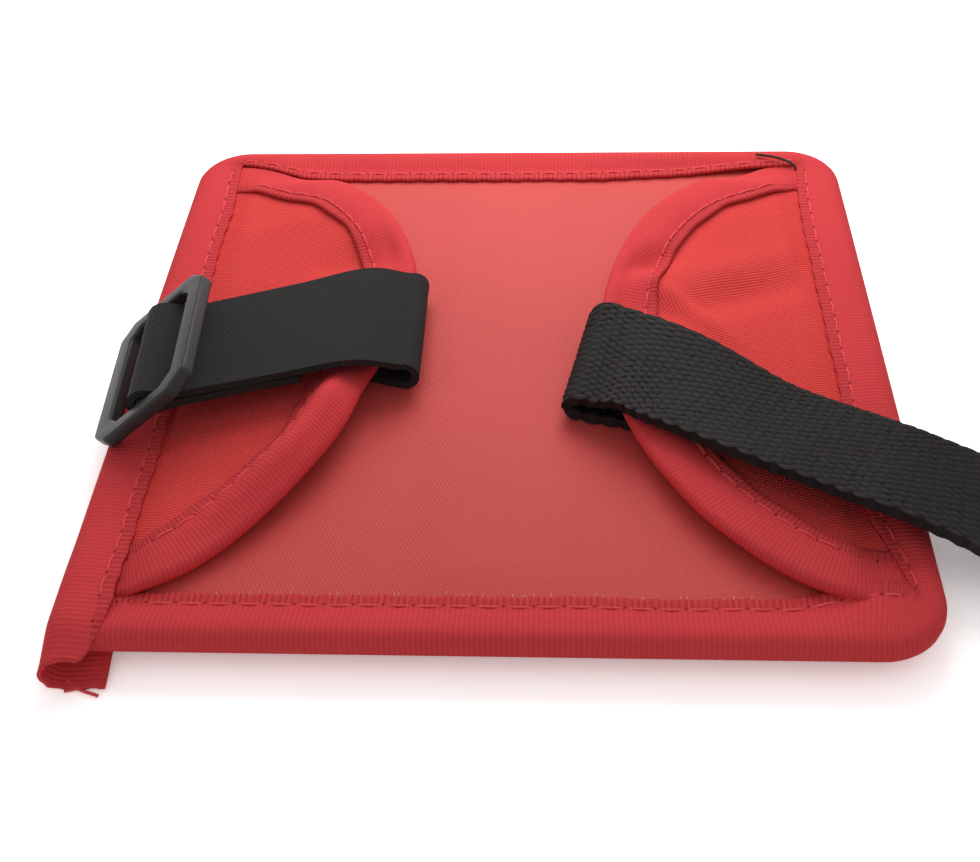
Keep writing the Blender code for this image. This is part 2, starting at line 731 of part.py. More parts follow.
def build_webbing(finishes, wing_hinge, strap_axis):
    low, high = fold_heights(RIGHT)
    radius = (high - low) / 2
    apex = webbing_apex()
    way = Vector((math.cos(WEBBING_YAW), math.sin(WEBBING_YAW), 0))
    half = Vector((-way.y, way.x, 0)) * (WEBBING_WIDTH / 2)

    def at(along, height):
        return apex + way * along + Vector((0, 0, height))

    root = [at(radius + CLEARANCE + ROOT_LENGTH, low), at(radius + CLEARANCE, low)]
    ribbon_piece("webbing_root", root, [half, half], WEBBING_THICKNESS, finishes["webbing"], wing_hinge)
    fold = []
    for step in range(FOLD_STEPS + 1):
        angle = -math.pi / 2 + math.pi * step / FOLD_STEPS
        fold.append(at(radius - radius * math.cos(angle), (low + high) / 2 + radius * math.sin(angle)))
    ribbon_piece("webbing_fold", fold, [half] * len(fold), WEBBING_THICKNESS, finishes["webbing"], strap_axis)

    route = webbing_route()
    halves = []
    for before, after in zip([route[0], *route[:-1]], [*route[1:], route[-1]]):
        along = (after - before).to_2d().normalized()
        twist = WEBBING_TWIST * before.lerp(after, 0.5).w
        level = Vector((-along.y, along.x, 0)) * math.cos(twist)
        halves.append((level - Vector((0, 0, math.sin(twist)))) * (WEBBING_WIDTH / 2))
    halves[0] = half
    run = [spot.to_3d() for spot in route]
    ribbon_piece("webbing_run", run, halves, WEBBING_THICKNESS, finishes["webbing"], strap_axis)


def build():
    clear_scene()
    finishes = {
        "panel": material("coated_twill", (0.52, 0.11, 0.105), 0.5),
        "tape": material("grosgrain_tape", (0.58, 0.055, 0.06), 0.75),
        "thread": material("sewing_thread", (0.62, 0.06, 0.065), 0.7),
        "canvas": material("wing_canvas", (0.66, 0.07, 0.065), 0.85),
        "cover": material("pin_face_cloth", (0.60, 0.06, 0.06), 0.85),
        "guard": material("guard_sheet", (0.8, 0.8, 0.78), 0.5),
        "filling": material("batting", (0.85, 0.83, 0.78), 0.95),
        "elastic": material("woven_elastic", (0.028, 0.026, 0.025), 0.8),
        "webbing": material("webbing_weave", (0.025, 0.022, 0.023), 0.75),
        "buckle": material("buckle_plastic", (0.085, 0.083, 0.08), 0.5),
    }
    low_left, high_left = fold_heights(LEFT)
    low_right, high_right = fold_heights(RIGHT)
    left_hinge = axis_empty("left_wing_fold_axis", (-HINGE_X, 0, HINGE_Z))
    right_hinge = axis_empty("right_wing_fold_axis", (HINGE_X, 0, HINGE_Z))
    elastic_apex = elastic_plan()[0] + Vector((0, 0, (low_left + high_left) / 2))
    elastic_axis = axis_empty("elastic_unfold_axis", elastic_apex, left_hinge)
    end_axis = axis_empty("buckle_lift_axis", flex_place()[0], elastic_axis)
    webbing_place = webbing_apex() + Vector((0, 0, (low_right + high_right) / 2))
    webbing_axis = axis_empty("webbing_unfold_axis", webbing_place, right_hinge)
    build_pad(finishes)
    build_wing(LEFT, "left_wing", finishes, left_hinge)
    build_wing(RIGHT, "right_wing", finishes, right_hinge)
    build_elastic(finishes, left_hinge, elastic_axis, end_axis)
    build_buckle(finishes["buckle"], end_axis)
    build_webbing(finishes, right_hinge, webbing_axis)


build()
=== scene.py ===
import json
import math
from bisect import bisect_right

import bmesh
import bpy
from mathutils import Matrix, Vector, noise


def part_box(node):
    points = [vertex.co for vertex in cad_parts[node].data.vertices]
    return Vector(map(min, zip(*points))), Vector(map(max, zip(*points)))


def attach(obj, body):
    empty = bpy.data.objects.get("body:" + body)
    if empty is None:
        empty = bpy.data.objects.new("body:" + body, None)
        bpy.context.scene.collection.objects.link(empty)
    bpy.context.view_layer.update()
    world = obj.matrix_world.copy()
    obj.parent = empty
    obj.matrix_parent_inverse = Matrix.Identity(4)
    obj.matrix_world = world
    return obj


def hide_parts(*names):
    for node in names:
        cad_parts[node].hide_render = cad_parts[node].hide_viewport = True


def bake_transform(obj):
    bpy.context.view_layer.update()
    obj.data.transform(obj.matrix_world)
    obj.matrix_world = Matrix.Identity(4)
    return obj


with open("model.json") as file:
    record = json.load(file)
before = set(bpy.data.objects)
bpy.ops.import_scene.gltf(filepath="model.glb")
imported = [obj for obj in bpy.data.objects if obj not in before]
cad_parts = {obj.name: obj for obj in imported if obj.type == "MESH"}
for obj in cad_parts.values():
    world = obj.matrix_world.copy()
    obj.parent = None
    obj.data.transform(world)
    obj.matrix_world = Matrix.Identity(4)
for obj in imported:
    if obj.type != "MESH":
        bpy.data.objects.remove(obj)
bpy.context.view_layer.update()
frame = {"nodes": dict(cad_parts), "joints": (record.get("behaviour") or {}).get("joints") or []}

# Pin guard
# A stiff sheet of milky plastic behind the filling, which stops a pin before it reaches the wrist.
# It is cut from flat stock and lies loose between the filling and the wrist panel.
GUARD_COLOUR = (0.72, 0.72, 0.68)
GUARD_SPECKLE = 900
PLASTIC_MOTTLE = 0.25
PLASTIC_GRAIN = 0.00004


def feed(tree, socket, value):
    """Links a socket to another one, or gives it a plain value."""
    if isinstance(value, bpy.types.NodeSocket):
        tree.links.new(value, socket)
    else:
        socket.default_value = value


def sums(tree, operation, *values):
    """A Math node fed with sockets or numbers."""
    node = tree.nodes.new("ShaderNodeMath")
    node.operation = operation
    for socket, value in zip(node.inputs, values):
        feed(tree, socket, value)
    return node.outputs[0]


def shader_group(name, inputs, outputs):
    """An empty shader group with its sockets, given as (label, kind, value) and (label, kind)."""
    group = bpy.data.node_groups.new(name, "ShaderNodeTree")
    for label, kind, value in inputs:
        socket = group.interface.new_socket(label, in_out="INPUT", socket_type=kind)
        socket.default_value = value
    for label, kind in outputs:
        group.interface.new_socket(label, in_out="OUTPUT", socket_type=kind)
    return group, group.nodes.new("NodeGroupInput"), group.nodes.new("NodeGroupOutput")


def build_mottle():
    """Soft unevenness in colour: a slow cloud and a fine speckle, both about 1."""
    group, given, made = shader_group(
        "mottle",
        [
            ("Place", "NodeSocketVector", (0, 0, 0)),
            ("Cloud Scale", "NodeSocketFloat", 60),
            ("Speckle Scale", "NodeSocketFloat", 900),
            ("Strength", "NodeSocketFloat", 0.2),
        ],
        [("Shade", "NodeSocketFloat"), ("Grain", "NodeSocketFloat")],
    )
    factors = []
    for label, detail in (("Cloud Scale", 3), ("Speckle Scale", 1)):
        cloud = group.nodes.new("ShaderNodeTexNoise")
        cloud.inputs["Detail"].default_value = detail
        group.links.new(given.outputs["Place"], cloud.inputs["Vector"])
        group.links.new(given.outputs[label], cloud.inputs["Scale"])
        factors.append(cloud.outputs["Fac"])
    both = sums(group, "ADD", factors[0], factors[1])
    swing = sums(group, "MULTIPLY", sums(group, "SUBTRACT", both, 1.0), given.outputs["Strength"])
    group.links.new(sums(group, "ADD", swing, 1.0), made.inputs["Shade"])
    group.links.new(factors[1], made.inputs["Grain"])
    return group


mottle = build_mottle()


def start_finish(name, roughness, shine):
    """A new material with its Principled shader, and its node tree."""
    finish = bpy.data.materials.new(name)
    finish.use_nodes = True
    shader = finish.node_tree.nodes["Principled BSDF"]
    shader.inputs["Roughness"].default_value = roughness
    shader.inputs["Specular IOR Level"].default_value = shine
    return finish, finish.node_tree, shader


def place_group(tree, group, **values):
    """A shader group in a material, with its inputs set from sockets or plain values."""
    node = tree.nodes.new("ShaderNodeGroup")
    node.node_tree = group
    for label, value in values.items():
        feed(tree, node.inputs[label.replace("_", " ").title()], value)
    return node


def tint(tree, colour, shade):
    """A colour made lighter and darker by a value about 1."""
    scale = tree.nodes.new("ShaderNodeVectorMath")
    scale.operation = "SCALE"
    feed(tree, scale.inputs[0], colour)
    feed(tree, scale.inputs["Scale"], shade)
    return scale.outputs[0]


def bump(tree, shader, height, distance):
    node = tree.nodes.new("ShaderNodeBump")
    node.inputs["Distance"].default_value = distance
    tree.links.new(height, node.inputs["Height"])
    tree.links.new(node.outputs["Normal"], shader.inputs["Normal"])


def uneven_finish(name, colour, roughness, shine, grain, uneven_gloss=False, **mottling):
    """One colour made uneven by the mottle, with a fine relief."""
    finish, tree, shader = start_finish(name, roughness, shine)
    place = tree.nodes.new("ShaderNodeTexCoord").outputs["Object"]
    uneven = place_group(tree, mottle, place=place, **mottling)
    shade = uneven.outputs["Shade"]
    tree.links.new(tint(tree, colour, shade), shader.inputs["Base Color"])
    if uneven_gloss:
        tree.links.new(sums(tree, "MULTIPLY", shade, roughness), shader.inputs["Roughness"])
    bump(tree, shader, uneven.outputs["Grain"], grain)
    return finish


guard = frame["nodes"]["guard_plate"]
guard.data.materials.clear()
guard_finish = uneven_finish(
    "guard_sheet",
    GUARD_COLOUR,
    roughness=0.4,
    shine=0.5,
    grain=PLASTIC_GRAIN,
    uneven_gloss=True,
    speckle_scale=GUARD_SPECKLE,
    strength=PLASTIC_MOTTLE,
)
guard.data.materials.append(guard_finish)

# Filling
# A thin pad of polyester batting that holds the pins, laid on the guard and fluffed out to the seam.
# It is a crowned slab with its sides drawn in, and it is not seen from outside.
BATTING_COLOUR = (0.82, 0.80, 0.74)
BATTING_CUTS = 18
BATTING_FLUFF = 0.00012
BATTING_FLUFF_SCALE = 260
EDGE_THINNING = 0.45
SIDES_DRAWN_IN = 0.02


def new_piece(name, mesh, finish):
    piece = bpy.data.objects.new(name, mesh)
    bpy.context.collection.objects.link(piece)
    mesh.materials.clear()
    mesh.materials.append(finish)
    return piece


def piece_from(name, work, finish):
    """Turns a bmesh in its final place into a smooth-shaded piece."""
    mesh = bpy.data.meshes.new(name)
    work.to_mesh(mesh)
    work.free()
    mesh.shade_smooth()
    return new_piece(name, mesh, finish)


filling_low, filling_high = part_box("pad_filling")
filling_middle = (filling_low + filling_high) / 2
filling_half = (filling_high - filling_low) / 2
work = bmesh.new()
bmesh.ops.create_cube(work, size=2)
bmesh.ops.subdivide_edges(work, edges=work.edges, cuts=BATTING_CUTS, use_grid_fill=True)
for vertex in work.verts:
    share = vertex.co.copy()
    edge = max(abs(share.x), abs(share.y))
    thin = 1 - EDGE_THINNING * edge ** 6
    drawn = 1 - SIDES_DRAWN_IN * (1 - min(abs(share.x), abs(share.y)) ** 2) * edge ** 8
    spot = Vector((share.x * filling_half.x * drawn, share.y * filling_half.y * drawn, 0))
    fluff = BATTING_FLUFF * noise.noise(spot * BATTING_FLUFF_SCALE)
    spot.z = share.z * (filling_half.z * thin - BATTING_FLUFF) + fluff
    vertex.co = spot + filling_middle
batting = uneven_finish(
    "batting",
    BATTING_COLOUR,
    roughness=0.95,
    shine=0.1,
    grain=0.0002,
    cloud_scale=300,
    speckle_scale=2500,
    strength=0.4,
)
filling = piece_from("filling", work, batting)
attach(filling, "pad")
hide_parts("pad_filling")

# Pin face
# The cloth that takes the pins: one piece of red cotton over the filling, caught in the edge binding all
# round and lying flat on the table. Its rim is held, and a cloth simulation swells the rest.
PIN_FACE_COLOUR = (0.56, 0.045, 0.045)
# The cloth's colour in the valleys between its yarns, darker as painted shade.
PIN_FACE_VALLEY_SHADE = (0.36, 0.02, 0.02)
COTTON_PITCH = 0.00045
PIN_FACE_COLUMNS, PIN_FACE_ROWS = 56, 54
PIN_FACE_FRAMES = 20
PIN_FACE_PRESSURE = 4.0
PIN_FACE_LOWEST = 0.0003
PIN_FACE_MOST_SWELL = 0.0016
PIN_FACE_SLOPE = 0.009
FILLING_GAP = 0.00005
TAPE_LEG = 0.0078
TAPE_THICKNESS = 0.0005
CORNER_RADIUS = 0.0086
LAYER_GAP = 0.0003


def build_yarn_waves():
    """Yarns of a woven cloth: two crossing waves of the place on it, in cycles a metre, made uneven."""
    group, given, made = shader_group(
        "yarn_waves",
        [
            ("Place", "NodeSocketVector", (0, 0, 0)),
            ("First", "NodeSocketVector", (0, 0, 0)),
            ("Second", "NodeSocketVector", (0, 0, 0)),
            ("Uneven", "NodeSocketFloat", 0.5),
        ],
        [("Height", "NodeSocketFloat")],
    )
    wander = group.nodes.new("ShaderNodeTexNoise")
    wander.inputs["Scale"].default_value = 140
    wander.inputs["Detail"].default_value = 2
    group.links.new(given.outputs["Place"], wander.inputs["Vector"])
    swing = sums(group, "SUBTRACT", wander.outputs["Fac"], 0.5)
    shift = sums(group, "MULTIPLY", swing, given.outputs["Uneven"])
    waves = []
    for label, wave in (("First", "SINE"), ("Second", "COSINE")):
        cycles = group.nodes.new("ShaderNodeVectorMath")
        cycles.operation = "DOT_PRODUCT"
        group.links.new(given.outputs["Place"], cycles.inputs[0])
        group.links.new(given.outputs[label], cycles.inputs[1])
        phase = sums(group, "MULTIPLY", sums(group, "ADD", cycles.outputs["Value"], shift), math.tau)
        waves.append(sums(group, wave, phase))
    product = sums(group, "MULTIPLY", waves[0], waves[1])
    group.links.new(sums(group, "MULTIPLY_ADD", product, 0.5, 0.5), made.inputs["Height"])
    return group


yarn_waves = build_yarn_waves()


def cloth_finish(name, colour, valley_shade, first, second, depth, roughness, shine, uneven, patchy, holes=None):
    """Woven cloth, whose yarns follow the piece's own weave attribute in metres. First and second are the
    cycles a metre of its two waves. In the valleys between the yarns the colour is darkened towards a
    deeper one, as painted shade. Holes, if any, adds needle holes and the puckers beside them, darkened
    with painted shade and sunk in the relief."""
    finish, tree, shader = start_finish(name, roughness, shine)
    weave = tree.nodes.new("ShaderNodeAttribute")
    weave.attribute_name = "weave"
    place = weave.outputs["Vector"]
    waves = {"first": (*first, 0), "second": (*second, 0)}
    yarns = place_group(tree, yarn_waves, place=place, uneven=uneven, **waves)
    patches = place_group(tree, mottle, place=place, cloud_scale=45, speckle_scale=1400, strength=patchy)
    # Painted shade: the colour darkens towards the deeper one in the valleys between the yarns.
    blend = tree.nodes.new("ShaderNodeMix")
    blend.data_type = "RGBA"
    blend.inputs["A"].default_value = (*valley_shade, 1)
    blend.inputs["B"].default_value = (*colour, 1)
    tree.links.new(yarns.outputs["Height"], blend.inputs["Factor"])
    shade = patches.outputs["Shade"]
    height = yarns.outputs["Height"]
    # Painted shade darkens the needle holes and the furrows beside them, which also sink the relief.
    if holes:
        pricks = place_group(tree, needle_holes, place=place, **holes)
        stitch_depth_and_shade = sums(tree, "MAXIMUM", pricks.outputs["Mask"], pricks.outputs["Pucker Depth And Shade"])
        shade = sums(tree, "MULTIPLY", shade, sums(tree, "SUBTRACT", 1.0, stitch_depth_and_shade))
        height = sums(tree, "SUBTRACT", height, stitch_depth_and_shade)
    tree.links.new(tint(tree, blend.outputs["Result"], shade), shader.inputs["Base Color"])
    bump(tree, shader, height, depth)
    return finish


def rounded(point, half, radius):
    """Moves a point of a rectangle so that the rectangle gets round corners."""
    inner = Vector((half.x - radius, half.y - radius))
    past = Vector((abs(point.x) - inner.x, abs(point.y) - inner.y))
    if past.x <= 0 or past.y <= 0:
        return point
    past *= max(past) / past.length
    return Vector((math.copysign(inner.x + past.x, point.x), math.copysign(inner.y + past.y, point.y)))


def ease(share):
    share = min(max(share, 0.0), 1.0)
    return share * share * (3 - 2 * share)


def cloth_grid(columns, rows, place):
    """A bmesh sheet on a grid: place(u, v) gives each point and its place along and across the cloth."""
    work = bmesh.new()
    bmesh.ops.create_grid(work, x_segments=columns, y_segments=rows, size=0.5)
    weave = work.verts.layers.float_vector.new("weave")
    for vertex in work.verts:
        spot, along, across = place(vertex.co.x + 0.5, vertex.co.y + 0.5)
        vertex.co = spot
        vertex[weave] = (along, across, 0)
    return work


def settle(piece):
    """Applies the piece's modifiers to its mesh."""
    shown = piece.evaluated_get(bpy.context.evaluated_depsgraph_get())
    mesh = bpy.data.meshes.new_from_object(shown)
    piece.modifiers.clear()
    piece.data = mesh
    return piece


def thicken(piece, thickness):
    layer = piece.modifiers.new("thickness", "SOLIDIFY")
    layer.thickness = thickness
    layer.offset = 0
    return settle(piece)


binding_low, binding_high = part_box("edge_binding")
pad_half = Vector((binding_high.x, binding_high.y))
tape_half = (binding_high.z - binding_low.z - TAPE_THICKNESS) / 2
tape_middle = (binding_high.z + binding_low.z) / 2
seam_inset = TAPE_THICKNESS / 2 + tape_half
layer_half = pad_half - Vector((seam_inset, seam_inset))
layer_radius = CORNER_RADIUS - seam_inset
cover_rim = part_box("face_cover")[1].z - TAPE_THICKNESS / 2
cover_bottom = filling_low.z - TAPE_THICKNESS / 2 - FILLING_GAP


def layer_spot(u, v):
    """A place in plan on a layer of cloth that is caught in the edge binding all round."""
    spot = Vector(((u * 2 - 1) * layer_half.x, (v * 2 - 1) * layer_half.y))
    return rounded(spot, layer_half, layer_radius)


def pin_face_place(u, v):
    spot = layer_spot(u, v)
    inset = min(pad_half.x - abs(spot.x), pad_half.y - abs(spot.y))
    dip = ease((inset - TAPE_LEG) / PIN_FACE_SLOPE)
    height = cover_rim + (cover_bottom - cover_rim) * dip
    return Vector((spot.x, spot.y, height)), spot.x, spot.y


work = cloth_grid(PIN_FACE_COLUMNS, PIN_FACE_ROWS, pin_face_place)
bmesh.ops.reverse_faces(work, faces=work.faces)
pin_face_finish = cloth_finish(
    "pin_face_cloth",
    PIN_FACE_COLOUR,
    PIN_FACE_VALLEY_SHADE,
    (1 / COTTON_PITCH, 0),
    (0, 1 / COTTON_PITCH),
    depth=0.0001,
    roughness=0.85,
    shine=0.15,
    uneven=0.5,
    patchy=0.18,
)
pin_face = piece_from("pin_face", work, pin_face_finish)
rim = pin_face.vertex_groups.new(name="rim")
rest_places = [vertex.co.copy() for vertex in pin_face.data.vertices]
for vertex in pin_face.data.vertices:
    inset = min(pad_half.x - abs(vertex.co.x), pad_half.y - abs(vertex.co.y))
    if inset < TAPE_LEG:
        rim.add([vertex.index], 1.0, "REPLACE")
swell = pin_face.modifiers.new("swell", "CLOTH")
swell.settings.quality = 6
swell.settings.mass = 0.15
swell.settings.vertex_group_mass = "rim"
swell.settings.use_pressure = True
swell.settings.uniform_pressure_force = PIN_FACE_PRESSURE
swell.settings.effector_weights.gravity = 0
for step in range(1, PIN_FACE_FRAMES + 1):
    bpy.context.scene.frame_set(step)
settle(pin_face)
bpy.context.scene.frame_set(1)
for vertex, start in zip(pin_face.data.vertices, rest_places):
    moved = vertex.co - start
    if moved.length > PIN_FACE_MOST_SWELL:
        moved *= PIN_FACE_MOST_SWELL / moved.length
    spot = start + moved
    spot.z = max(spot.z, PIN_FACE_LOWEST)
    vertex.co = spot
fine = pin_face.modifiers.new("fine", "SUBSURF")
fine.levels = fine.render_levels = 1
thicken(pin_face, TAPE_THICKNESS)
pin_face.vertex_groups.clear()
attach(pin_face, "pad")
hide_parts("face_cover")

# Wrist panel
# One sheet of coated twill that lies against the wrist, with fine steep twill lines and a slight sheen.
# It is stretched flat over the guard, and its edge is caught in the edge binding.
PANEL_COLOUR = (0.64, 0.083, 0.075)
# The twill's colour in the valleys of its lines, darker as painted shade.
PANEL_VALLEY_SHADE = (0.60, 0.074, 0.067)
PANEL_THICKNESS = 0.0006
PANEL_COLUMNS, PANEL_ROWS = 72, 70
PANEL_SWELL = 0.0003
PANEL_RIPPLE = 0.00012
RIPPLES_ACROSS, RIPPLES_ALONG = 60, 35
WRIST_STRIP_HALF = (0.013, 0.046)
WRIST_STRIP_FADE = 0.006
TWILL_PITCH = 0.00048
TWILL_LEAN = math.radians(62)

panel_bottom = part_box("back_panel")[0].z
panel_middle = panel_bottom + PANEL_THICKNESS / 2
panel_top = panel_bottom + PANEL_THICKNESS


def panel_place(u, v):
    spot = layer_spot(u, v)
    swell = PANEL_SWELL
    for half, place in zip(WRIST_STRIP_HALF, spot):
        swell *= ease((half - abs(place)) / WRIST_STRIP_FADE)
    ripple = PANEL_RIPPLE * noise.noise(Vector((spot.x * RIPPLES_ACROSS, spot.y * RIPPLES_ALONG, 3)))
    return Vector((spot.x, spot.y, panel_middle + swell + ripple)), spot.x, spot.y


twill_finish = cloth_finish(
    "coated_twill",
    PANEL_COLOUR,
    PANEL_VALLEY_SHADE,
    (math.sin(TWILL_LEAN) / TWILL_PITCH, math.cos(TWILL_LEAN) / TWILL_PITCH),
    (0, 0),
    depth=0.00002,
    roughness=0.50,
    shine=0.12,
    uneven=0.40,
    patchy=0.14,
)
panel = piece_from("wrist_panel", cloth_grid(PANEL_COLUMNS, PANEL_ROWS, panel_place), twill_finish)
thicken(panel, PANEL_THICKNESS)
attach(panel, "pad")
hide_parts("back_panel")

# Frayed fibres
# Fine pale ends of the twill's warp that stand out from under the front binding.
# They are single fibres that lie on the panel, a couple of millimetres apart.
FIBRE_COLOUR = (0.80, 0.36, 0.33)
FIBRE_DIAMETER = 0.00010
FIBRE_LENGTH = 0.0011
FIBRE_PITCH = 0.0017
FIBRE_SPAN = 0.034
FIBRE_TUCK = 0.0004
FIBRE_RISE = 0.00022
FIBRE_TIP_RISE = 0.00012
FIBRE_SEED = 5
THREAD_TWIST = 0.00006


def thread_row(name, lines, finish, diameter):
    """A piece made of short threads, one along each line of points."""
    curve = bpy.data.curves.new(name, "CURVE")
    curve.dimensions = "3D"
    curve.bevel_depth = diameter / 2
    curve.bevel_resolution = 2
    curve.use_fill_caps = True
    for points in lines:
        spline = curve.splines.new("POLY")
        spline.points.add(len(points) - 1)
        for knot, point in zip(spline.points, points):
            knot.co = (*point, 1)
    guide = bpy.data.objects.new(name, curve)
    bpy.context.collection.objects.link(guide)
    mesh = bpy.data.meshes.new_from_object(guide.evaluated_get(bpy.context.evaluated_depsgraph_get()))
    bpy.data.objects.remove(guide)
    mesh.shade_smooth()
    return new_piece(name, mesh, finish)


def thread_finish(name, colour, roughness):
    """Spun thread: uneven in colour, with a fine twist."""
    return uneven_finish(
        name,
        colour,
        roughness,
        shine=0.2,
        grain=THREAD_TWIST,
        cloud_scale=400,
        speckle_scale=5200,
        strength=0.5,
    )


noise.seed_set(FIBRE_SEED)
fibres = []
for number in range(round(2 * FIBRE_SPAN / FIBRE_PITCH)):
    jitter = noise.noise_vector(Vector((number * 3.7, 0.5, 0)))
    root = Vector((0, -pad_half.y + TAPE_LEG - FIBRE_TUCK, panel_top))
    root.x = -FIBRE_SPAN + FIBRE_PITCH * (number + jitter.x)
    reach = FIBRE_LENGTH * (1 + 0.6 * jitter.y)
    middle = root + Vector((reach * 0.1 * jitter.z, reach * 0.6, FIBRE_RISE))
    tip = root + Vector((reach * 0.35 * jitter.z, reach, FIBRE_TIP_RISE))
    fibres.append([root, middle, tip])
fibre_finish = thread_finish("frayed_fibre", FIBRE_COLOUR, 0.7)
frayed = thread_row("frayed_fibres", fibres, fibre_finish, FIBRE_DIAMETER)
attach(frayed, "pad")

# Wing canvases
# Two half moons of red cotton canvas, each caught by its straight side under the edge binding and folded in
# over the wrist panel. The canvas is puckered beside the straps that are sewn under it.
LEFT, RIGHT = -1, 1
WING_NAMES = {LEFT: "left_wing", RIGHT: "right_wing"}
CANVAS_COLOUR = (0.88, 0.080, 0.073)
# The canvas's colour in the valleys between its yarns, darker as painted shade.
CANVAS_VALLEY_SHADE = (0.66, 0.054, 0.050)
CANVAS_PITCH = 0.00062
CANVAS_LEAN = {LEFT: math.radians(28), RIGHT: math.radians(-24)}
CANVAS_THICKNESS = 0.0005
CANVAS_INSET = 0.0009
CANVAS_COLUMNS, CANVAS_ROWS = 110, 44
WING_REACH = 0.0330
WING_END_LAP = 0.0007
WING_BACK_LAP = 0.0030
WING_LAP_WIDTH = 0.013
WING_END_SLOPE = 0.006
WING_TUCK = 0.0042
WING_RISE_LENGTH = 0.025
WING_HELD = 0.0006
WING_HELD_SLOPE = 0.0045
WING_BEND = (0.0007, -0.0012)
WING_APEX = {LEFT: 0.008, RIGHT: 0.0}
WING_BACK_POWER = {LEFT: 2.2, RIGHT: 2.1}
WING_FRONT_POWER = {LEFT: 1.6, RIGHT: 1.8}
WING_STEPS = 240
LEFT_PULL = 0.0022
LEFT_PULL_AT = -0.007
LEFT_PULL_SPREAD = 0.009
ROLL_HEIGHT = 0.0034
ROLL_EDGE = 0.35
ROLL_CREST = 0.0036
ROLL_WIDTH = 0.0082
ROLL_FRONT, ROLL_FRONT_SLOPE = -0.040, 0.016
ROLL_BACK, ROLL_BACK_SLOPE = -0.004, 0.012
STRAP_THICKNESS = {LEFT: 0.0011, RIGHT: 0.0015}
HINGE_X = pad_half.x - TAPE_LEG - LAYER_GAP
WING_HALF_LENGTH = pad_half.y - TAPE_LEG + WING_END_LAP
WING_TAPE_STACK = CANVAS_THICKNESS / 2 + LAYER_GAP + TAPE_THICKNESS
MARGIN_MIDDLE = panel_top + LAYER_GAP + CANVAS_THICKNESS / 2
WING_ROOT = binding_high.z - CANVAS_THICKNESS / 2

# Creases that a strap's sewn end and the tape pull into each wing: height, place, spreads and turn in
# degrees. The held ones start some way inside the wing's edge and grow over a width.
HELD_CREASES = {
    LEFT: [(-0.0017, (-0.0225, 0.0205), (0.0050, 0.0035), 25)],
    RIGHT: [
        (-0.0017, (0.0215, 0.0180), (0.0034, 0.0017), 36),
        (-0.0013, (0.0195, 0.0075), (0.0050, 0.0034), 0),
    ],
}
FREE_CREASES = {
    LEFT: [
        (0.0007, (-0.035, 0.031), (0.0060, 0.0025), 30),
        (-0.0009, (-0.029, 0.0195), (0.0060, 0.0040), 0),
    ],
    RIGHT: [
        (0.0012, (0.0272, 0.0075), (0.0060, 0.0010), -49),
        (-0.0010, (0.0365, 0.0120), (0.0090, 0.0021), 26),
        (0.0007, (0.0355, 0.0185), (0.0090, 0.0024), 29),
        (-0.0006, (0.0275, 0.0245), (0.0050, 0.0016), 60),
    ],
}
CREASE_HOLD = {LEFT: (0.001, 0.0025), RIGHT: (0.0008, 0.0022)}
CANVAS_WANDER = 0.0003
CANVAS_WANDER_SCALE = 95


def hill(x, y, place, spread):
    """A smooth hill of height 1 about a place, as wide as its two spreads."""
    return math.exp(-(((x - place[0]) / spread[0]) ** 2 + ((y - place[1]) / spread[1]) ** 2) / 2)


def crease_height(creases, x, y):
    """The height of a wing's creases at a place: hills that are turned and added up."""
    total = 0.0
    for height, place, spread, turn in creases:
        away = Vector((x - place[0], y - place[1]))
        away.rotate(Matrix.Rotation(-math.radians(turn), 2))
        total += height * hill(away.x, away.y, (0, 0), spread)
    return total


def wing_part(side, back):
    """How long the back or the front of a wing is along the fold, and the power of its curve."""
    if back:
        return WING_HALF_LENGTH - WING_APEX[side], WING_BACK_POWER[side]
    return WING_HALF_LENGTH + WING_APEX[side], WING_FRONT_POWER[side]


def wing_reach(side, y):
    """How far the wing's edge reaches in from the fold, at a place along the fold."""
    from_apex = y - WING_APEX[side]
    span, power = wing_part(side, from_apex > 0)
    reach = WING_REACH * max(1 - (abs(from_apex) / span) ** power, 0) ** (1 / power)
    if side == LEFT:
        reach -= LEFT_PULL * math.exp(-(((y - LEFT_PULL_AT) / LEFT_PULL_SPREAD) ** 2))
    return max(reach, 0)


def from_wing_edge(side, x, y):
    """About how far inside the wing's edge a place is."""
    step = 0.0005
    slope = (wing_reach(side, y + step) - wing_reach(side, y - step)) / (2 * step)
    return (wing_reach(side, y) - HINGE_X + side * x) / math.hypot(1, slope)


def left_roll(x, y):
    """The left wing's edge is curled into a roll in front of the elastic, highest in the tape's middle."""
    inside = from_wing_edge(LEFT, x, y)
    height = ROLL_HEIGHT * ease((y - ROLL_FRONT) / ROLL_FRONT_SLOPE)
    height *= ease((ROLL_BACK - y) / ROLL_BACK_SLOPE)
    if inside < ROLL_CREST:
        return height * (ROLL_EDGE + (1 - ROLL_EDGE) * ease(inside / ROLL_CREST))
    return height * (1 - ease((inside - ROLL_CREST) / (ROLL_WIDTH - ROLL_CREST)))


def wing_puckers(side, x, y):
    """How far a wing's creases and its slow unevenness lift or sink the canvas."""
    start, width = CREASE_HOLD[side]
    held = ease((from_wing_edge(side, x, y) - start) / width)
    lift = crease_height(HELD_CREASES[side], x, y) * held + crease_height(FREE_CREASES[side], x, y)
    lift += CANVAS_WANDER * noise.noise(Vector((x, y, 0)) * CANVAS_WANDER_SCALE + Vector((0, 0, 7 + side)))
    return lift + left_roll(x, y) if side == LEFT else lift


def from_back_tape(y):
    """From 0 under the back tape's inner edge to 1 some way in front of it."""
    return ease((pad_half.y - TAPE_LEG + WING_HELD - y) / WING_END_SLOPE)


